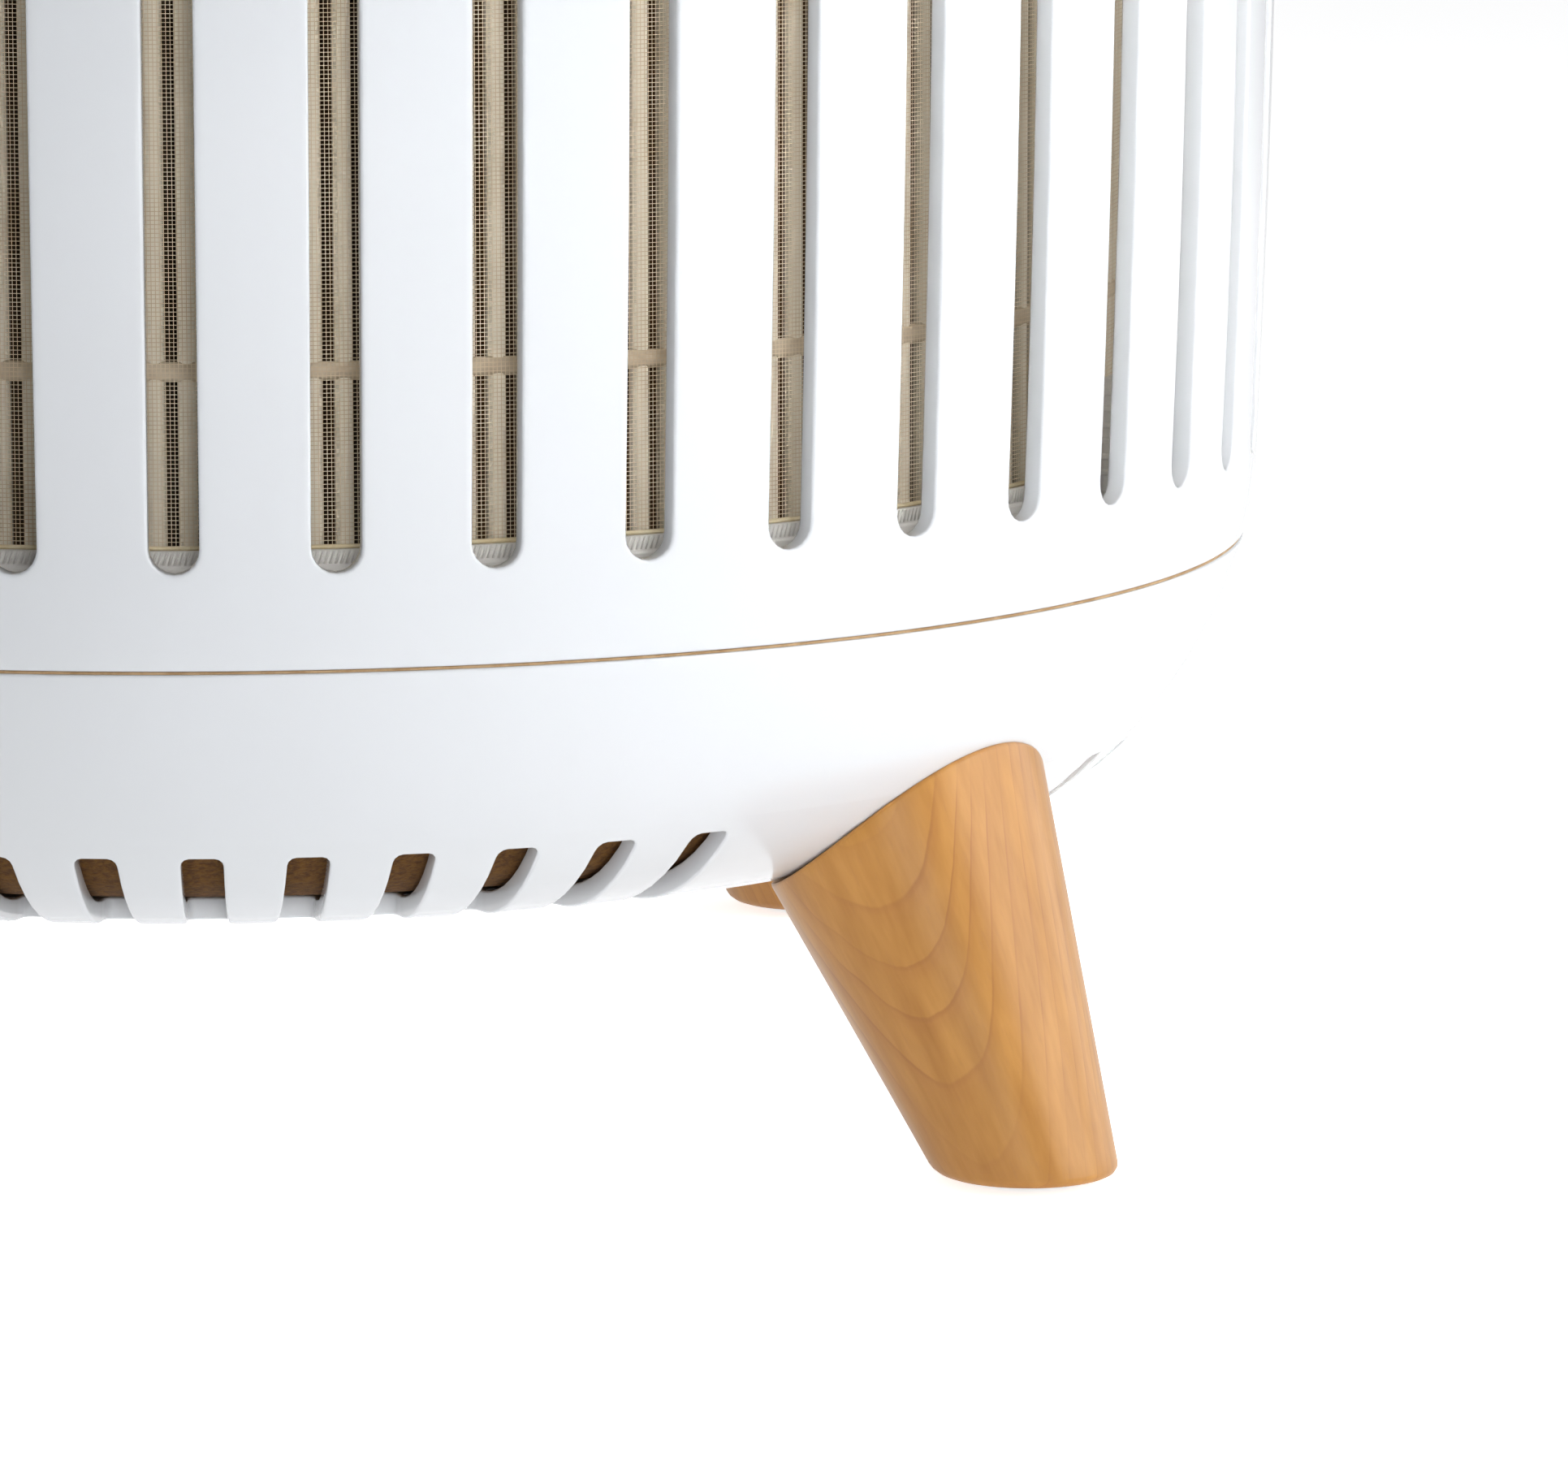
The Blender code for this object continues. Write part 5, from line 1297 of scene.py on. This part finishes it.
def icon(kind, z):
    """A small raised sign, in the button's own plane."""
    width = 0.55 * MM
    low, high = z - 0.16 * MM, z + 0.03 * MM

    def arc(radius, start, end, width):
        line = []
        for k in range(25):
            angle = math.radians(start + (end - start) * k / 24)
            out = Vector((math.cos(angle), math.sin(angle)))
            line.append((out * radius, out * width / 2))
        return prism(two_sided(line), low, high)

    def bar(x, y, length, width, turn):
        half, side = length / 2, width / 2
        bm = prism([(-half, -side), (half, -side), (half, side), (-half, side)], low, high)
        return moved(bm, Matrix.Translation((x, y, 0)) @ Matrix.Rotation(math.radians(turn), 4, "Z"))

    if kind == "power":
        return [arc(2.6 * MM, 125, 415, width), bar(0, 2.1 * MM, 2.6 * MM, width, 90)]
    if kind == "speed":
        bars = enumerate((1.8 * MM, 3.0 * MM, 4.2 * MM), -1)
        return [bar(k * 1.7 * MM, (length - 4.2 * MM) / 2, length, 0.8 * MM, 90) for k, length in bars]
    if kind == "timer":
        hands = [bar(0, 0.8 * MM, 1.6 * MM, width, 90), bar(0.6 * MM, 0, 1.2 * MM, width, 0)]
        return [arc(2.7 * MM, 0, 359.64, width)] + hands
    return [arc(2.2 * MM, 60, 300, 1.3 * MM)]


def buttons():
    """Four round keys, dished on top, each with its sign."""
    stem, side, lip = 2.5 * MM, 7.7 * MM, 9.2 * MM
    lip_top = PANEL_HIGH.z - PANEL_PLATE - 0.3 * MM
    lip_low = lip_top - 1.5 * MM
    for index, kind in enumerate(BUTTONS):
        name = f"{kind}_button"
        low, high = (corner.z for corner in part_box(name))
        outline = [(0, low), (stem, low), (stem, lip_low), (lip, lip_low), (lip, lip_top)]
        outline = softened(outline + [(side, lip_top), (side, high - 0.1 * MM)], 0.4 * MM, 4)
        outline += [(5 * MM, high - 0.22 * MM), (2.5 * MM, high - 0.29 * MM), (0, high - 0.3 * MM)]
        key = moved(turned(outline, 64), button_place(index))
        made(f"{kind}_key_top", key, SOFT_WHITE, f"{kind}_key", (name,))
        sign = moved(together(*icon(kind, high - 0.2 * MM)), button_place(index))
        made(f"{kind}_sign", sign, ICON, f"{kind}_key", (), sharp=30)


def carried(node, material, body, soft):
    """A CAD piece whose shape is right: the same solid with its edges eased."""
    bm = bmesh.new()
    bm.from_mesh(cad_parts[node].data)
    bmesh.ops.remove_doubles(bm, verts=bm.verts[:], dist=1e-6)
    bmesh.ops.dissolve_limit(bm, angle_limit=math.radians(1), verts=bm.verts[:], edges=bm.edges[:])
    eased = placed("eased", mesh_from(bm, node))
    modifier = eased.modifiers.new("Ease", "BEVEL")
    modifier.width = soft
    modifier.segments = 2
    modifier.limit_method = "ANGLE"
    modifier.angle_limit = math.radians(30)
    bm = read_back(result_of(eased))
    bpy.data.objects.remove(eased, do_unlink=True)
    made(f"{node}_eased", bm, material, body, (node,), recalc=False, sharp=30)


def inlet_plate():
    """The plate under the fan: a flared mouth in its middle and ribs round it."""
    outer, low, high, lip = PLATE_HIGH.x, PLATE_LOW.z, PLATE_LOW.z + 3 * MM, PLATE_HIGH.z
    eye, flare = 66 * MM, 10 * MM
    quarter = [math.pi / 2 * k / 12 for k in range(13)]
    outline = [(outer, low), (outer, high), (eye + flare + 4 * MM, high)]
    for a in quarter:
        outline.append((eye + 2.4 * MM + flare * (1 - math.sin(a)), lip - (lip - high) * math.cos(a)))
    outline.append((eye, lip))
    for a in quarter[::-1]:
        outline.append((eye + (flare + 1 * MM) * (1 - math.sin(a)), lip - (lip - low) * math.cos(a)))
    rib = slab(56 * MM, 1.6 * MM, high - 0.4 * MM, high + 2 * MM, 0.4 * MM, towards(0, 112 * MM))
    turn = math.tau / PLATE_RIBS
    bm = together(turned(outline, 240), round_the_axis(rib, PLATE_RIBS, turn, turn / 2))
    made("inlet_plate", bm, GREY, "housing", ("fan_plate",))


def duct():
    """The sleeve round the fan wheel, on a flange."""
    inner, wall, flange = 122 * MM, 124.5 * MM, 130 * MM
    low, step, top = DUCT_LOW.z, DUCT_LOW.z + 2.5 * MM, DUCT_HIGH.z
    outline = [(inner, low), (flange, low), (flange, step), (wall, step), (wall, top), (inner, top)]
    bm = turned(softened(outline, 0.5 * MM), 240)
    made("duct", bm, GREY, "housing", ("fan_duct",))


def blade_outline():
    """One blade seen from above: swept back, and thickest near its middle."""
    inner, outer, sweep, steps = 74 * MM, 91 * MM, math.radians(16), 14
    sides = [[], []]
    for k in range(steps + 1):
        share = k / steps
        r = inner + (outer - inner) * share
        half = 0.95 * MM * math.sin(math.pi * (0.12 + 0.8 * share)) ** 0.5
        for side, sign in zip(sides, (1, -1)):
            angle = sign * half / r - sweep * share
            side.append((r * math.cos(angle), r * math.sin(angle)))
    return sides[0] + sides[1][::-1]


def fan_wheel():
    """Shroud, back plate with its boss, and swept blades between them."""
    low, high = WHEEL_LOW.z, WHEEL_HIGH.z
    disc, radius, bore = 2.4 * MM, 92 * MM, 4.3 * MM
    back = high - disc
    boss = back - 9 * MM
    outline = [(bore, boss), (11 * MM, boss), (12.5 * MM, back - 1 * MM), (15 * MM, back), (radius, back)]
    wheel = turned(softened(outline + [(radius, high), (bore, high)], 0.5 * MM), 180)
    wheel = together(wheel, ring(75.5 * MM, radius + 1 * MM, low, low + disc, 0.6 * MM, 180))
    blade = prism(blade_outline(), low + disc * 0.6, back + disc * 0.4)
    wheel = together(wheel, round_the_axis(blade, BLADES, math.tau / BLADES))
    made("fan_wheel", wheel, WHITE, "fan_rotor", ("impeller",), sharp=35)
    bm = ring(4.2 * MM, ROTOR_HIGH.x, ROTOR_LOW.z, ROTOR_LOW.z + 2 * MM, 0.5 * MM, 96)
    bm = together(bm, ring(28 * MM, ROTOR_HIGH.x, ROTOR_LOW.z + 1 * MM, ROTOR_HIGH.z, 0.4 * MM, 96))
    made("rotor_cup", bm, STEEL, "fan_rotor", ("motor_rotor",))


def fillings():
    """The pieces that keep the shape they have in the frame."""
    for node, material, body, soft in (
        ("bearing_lower", STEEL, "housing", 0.25),
        ("bearing_upper", STEEL, "housing", 0.25),
        ("motor_stator", COPPER, "housing", 0.4),
        ("motor_bracket", GREY, "housing", 0.5),
        ("main_board", BOARD, "housing", 0.2),
        ("control_board", BOARD, "housing", 0.2),
        ("power_inlet", BLACK, "housing", 0.4),
        ("wire_channel", WHITE, "housing", 0.4),
        ("dust_sensor", BLACK, "housing", 0.5),
        ("motor_shaft", STEEL, "fan_rotor", 0.25),
        ("shaft_nut", STEEL, "fan_rotor", 0.3),
        ("leg_bolt_front_left", STEEL, "base", 0.3),
        ("leg_bolt_front_right", STEEL, "base", 0.3),
        ("leg_bolt_rear_left", STEEL, "base", 0.3),
        ("leg_bolt_rear_right", STEEL, "base", 0.3),
    ):
        carried(node, material, body, soft * MM)


# ---------------------------------------------------------------- room, light and camera


def room():
    """A white floor that shows the camera its own pale glow and still takes the object's shadow."""
    ground = bmesh.new()
    bmesh.ops.create_circle(ground, cap_ends=True, segments=96, radius=6)
    floor = placed("floor", mesh_from(moved(ground, Matrix.Translation((0, 0, -0.4 * MM))), "floor"))
    material = bpy.data.materials.new("white floor")
    material.use_nodes = True
    nodes, links = material.node_tree.nodes, material.node_tree.links
    shader = nodes["Principled BSDF"]
    shader.inputs["Base Color"].default_value = (0.93, 0.93, 0.93, 1)
    shader.inputs["Roughness"].default_value = 0.9
    glow = nodes.new("ShaderNodeEmission")
    path = nodes.new("ShaderNodeLightPath")
    strength = nodes.new("ShaderNodeMath")
    strength.operation = "MULTIPLY_ADD"
    strength.inputs[1].default_value = FLOOR_GLOW - FLOOR_LIGHT
    strength.inputs[2].default_value = FLOOR_LIGHT
    both = nodes.new("ShaderNodeAddShader")
    for source, target in (
        (path.outputs["Is Camera Ray"], strength.inputs[0]),
        (strength.outputs[0], glow.inputs["Strength"]),
        (shader.outputs[0], both.inputs[0]),
        (glow.outputs[0], both.inputs[1]),
        (both.outputs[0], nodes["Material Output"].inputs["Surface"]),
    ):
        links.new(source, target)
    floor.data.materials.append(material)


def surroundings():
    """A pale studio: brighter on the right and overhead, dimmer on the left and at eye level."""
    world = bpy.data.worlds.new("studio")
    bpy.context.scene.world = world
    world.use_nodes = True
    nodes, links = world.node_tree.nodes, world.node_tree.links
    path = nodes.new("ShaderNodeLightPath").outputs
    where = nodes.new("ShaderNodeTexCoord").outputs["Generated"]
    split = nodes.new("ShaderNodeSeparateXYZ")
    links.new(where, split.inputs[0])

    def graded(axis, *stops):
        """Shades along an axis of the view's direction, from 0 at its low end to 1 at its high end."""
        half = nodes.new("ShaderNodeMath")
        half.operation = "MULTIPLY_ADD"
        half.inputs[1].default_value = 0.5
        half.inputs[2].default_value = 0.5
        links.new(split.outputs[axis], half.inputs[0])
        ramp = nodes.new("ShaderNodeValToRGB")
        set_stops(ramp, stops)
        links.new(half.outputs[0], ramp.inputs["Fac"])
        return ramp.outputs["Color"]

    def mixed(blend, share, first, second):
        node = nodes.new("ShaderNodeMix")
        node.data_type = "RGBA"
        node.blend_type = blend
        for socket, value in ((0, share), (6, first), (7, second)):
            if isinstance(value, float):
                node.inputs[socket].default_value = value if socket == 0 else (value, value, value, 1)
            else:
                links.new(value, node.inputs[socket])
        return node.outputs[2]

    sideways = graded("X", (0.15, (0.42, 0.44, 0.46)), (0.85, 1.0))
    upwards = graded("Z", (0.5, (0.86, 0.87, 0.88)), (0.9, 1.0))
    across = graded("X", (0.35, (0.62, 0.66, 0.70)), (0.75, 1.0))
    overhead = graded("Z", (0.5, (0.42, 0.44, 0.46)), (0.60, (0.62, 0.64, 0.66)), (0.9, 1.0))
    soft = mixed("MULTIPLY", 1.0, sideways, upwards)
    brighter = nodes.new("ShaderNodeVectorMath")
    brighter.operation = "SCALE"
    brighter.inputs["Scale"].default_value = 1 / STUDIO_LIGHT
    links.new(mixed("MULTIPLY", 1.0, across, overhead), brighter.inputs[0])
    unseen = mixed("MIX", path["Is Glossy Ray"], soft, brighter.outputs[0])
    background = nodes["Background"]
    links.new(mixed("MIX", path["Is Camera Ray"], unseen, 1 / STUDIO_LIGHT), background.inputs["Color"])
    background.inputs["Strength"].default_value = STUDIO_LIGHT


def lamp(name, place, aim, size, power, colour=LAMP_WHITE, shiny=False, spread=180):
    """A rectangular lamp turned to its aim. Glossy finishes show it only where shiny is set."""
    light = bpy.data.lights.new(name, "AREA")
    light.shape = "RECTANGLE"
    light.size, light.size_y = size
    light.energy = power
    light.color = colour
    light.spread = math.radians(spread)
    thing = placed(name, light)
    thing.location = place
    thing.rotation_euler = (Vector(aim) - Vector(place)).to_track_quat("-Z", "Y").to_euler()
    thing.visible_glossy = shiny


def lamps():
    middle = (0, 0, 0.15)
    lamp("key", (1.25, -0.52, 0.62), middle, (1.2, 1.2), 13.0, shiny=True)
    lamp("side", (1.30, 0.48, 0.50), middle, (0.8, 1.0), 4.6, shiny=True)
    lamp("front", (0.12, -1.5, 0.52), middle, (0.45, 0.6), 3.9)
    lamp("gridded", (0.13, -1.35, 0.34), (0.15, -0.09, 0.20), (0.22, 0.3), 0.16, (1, 1, 1), spread=18)
    lamp("overhead", (0, 0.35, 1.5), (0, 0.05, 0.34), (1.2, 1.0), 3.5, (1, 1, 1))


def camera():
    """Near the floor and close by, looking a little down at the lower right part."""
    data = bpy.data.cameras.new("camera")
    data.sensor_width = 36
    data.lens = 188.38
    data.clip_start, data.clip_end = 0.05, 50
    thing = placed("camera", data)
    thing.location = (-0.0251, -1.1761, 0.2368)
    down, right = math.radians(9.206), math.radians(5.120)
    thing.rotation_euler = (math.pi / 2 - down, 0, -right)
    bpy.context.scene.camera = thing


def main():
    camera()
    bowl()
    seam_shade_ring()
    vent_liner()
    for name, (bearing, grain_start) in LEGS.items():
        leg(name, bearing, grain_start)
        foot_glide(name.removeprefix("leg_"), bearing)
    tray()
    tray_guides()
    screws()
    pleats()
    glue()
    net()
    end_caps()
    carbon_felt()
    core_basket()
    drum()
    top_cover()
    grille()
    panel()
    buttons()
    inlet_plate()
    duct()
    fan_wheel()
    fillings()
    room()
    surroundings()
    lamps()
    bpy.context.scene.view_settings.view_transform = "Standard"


main()
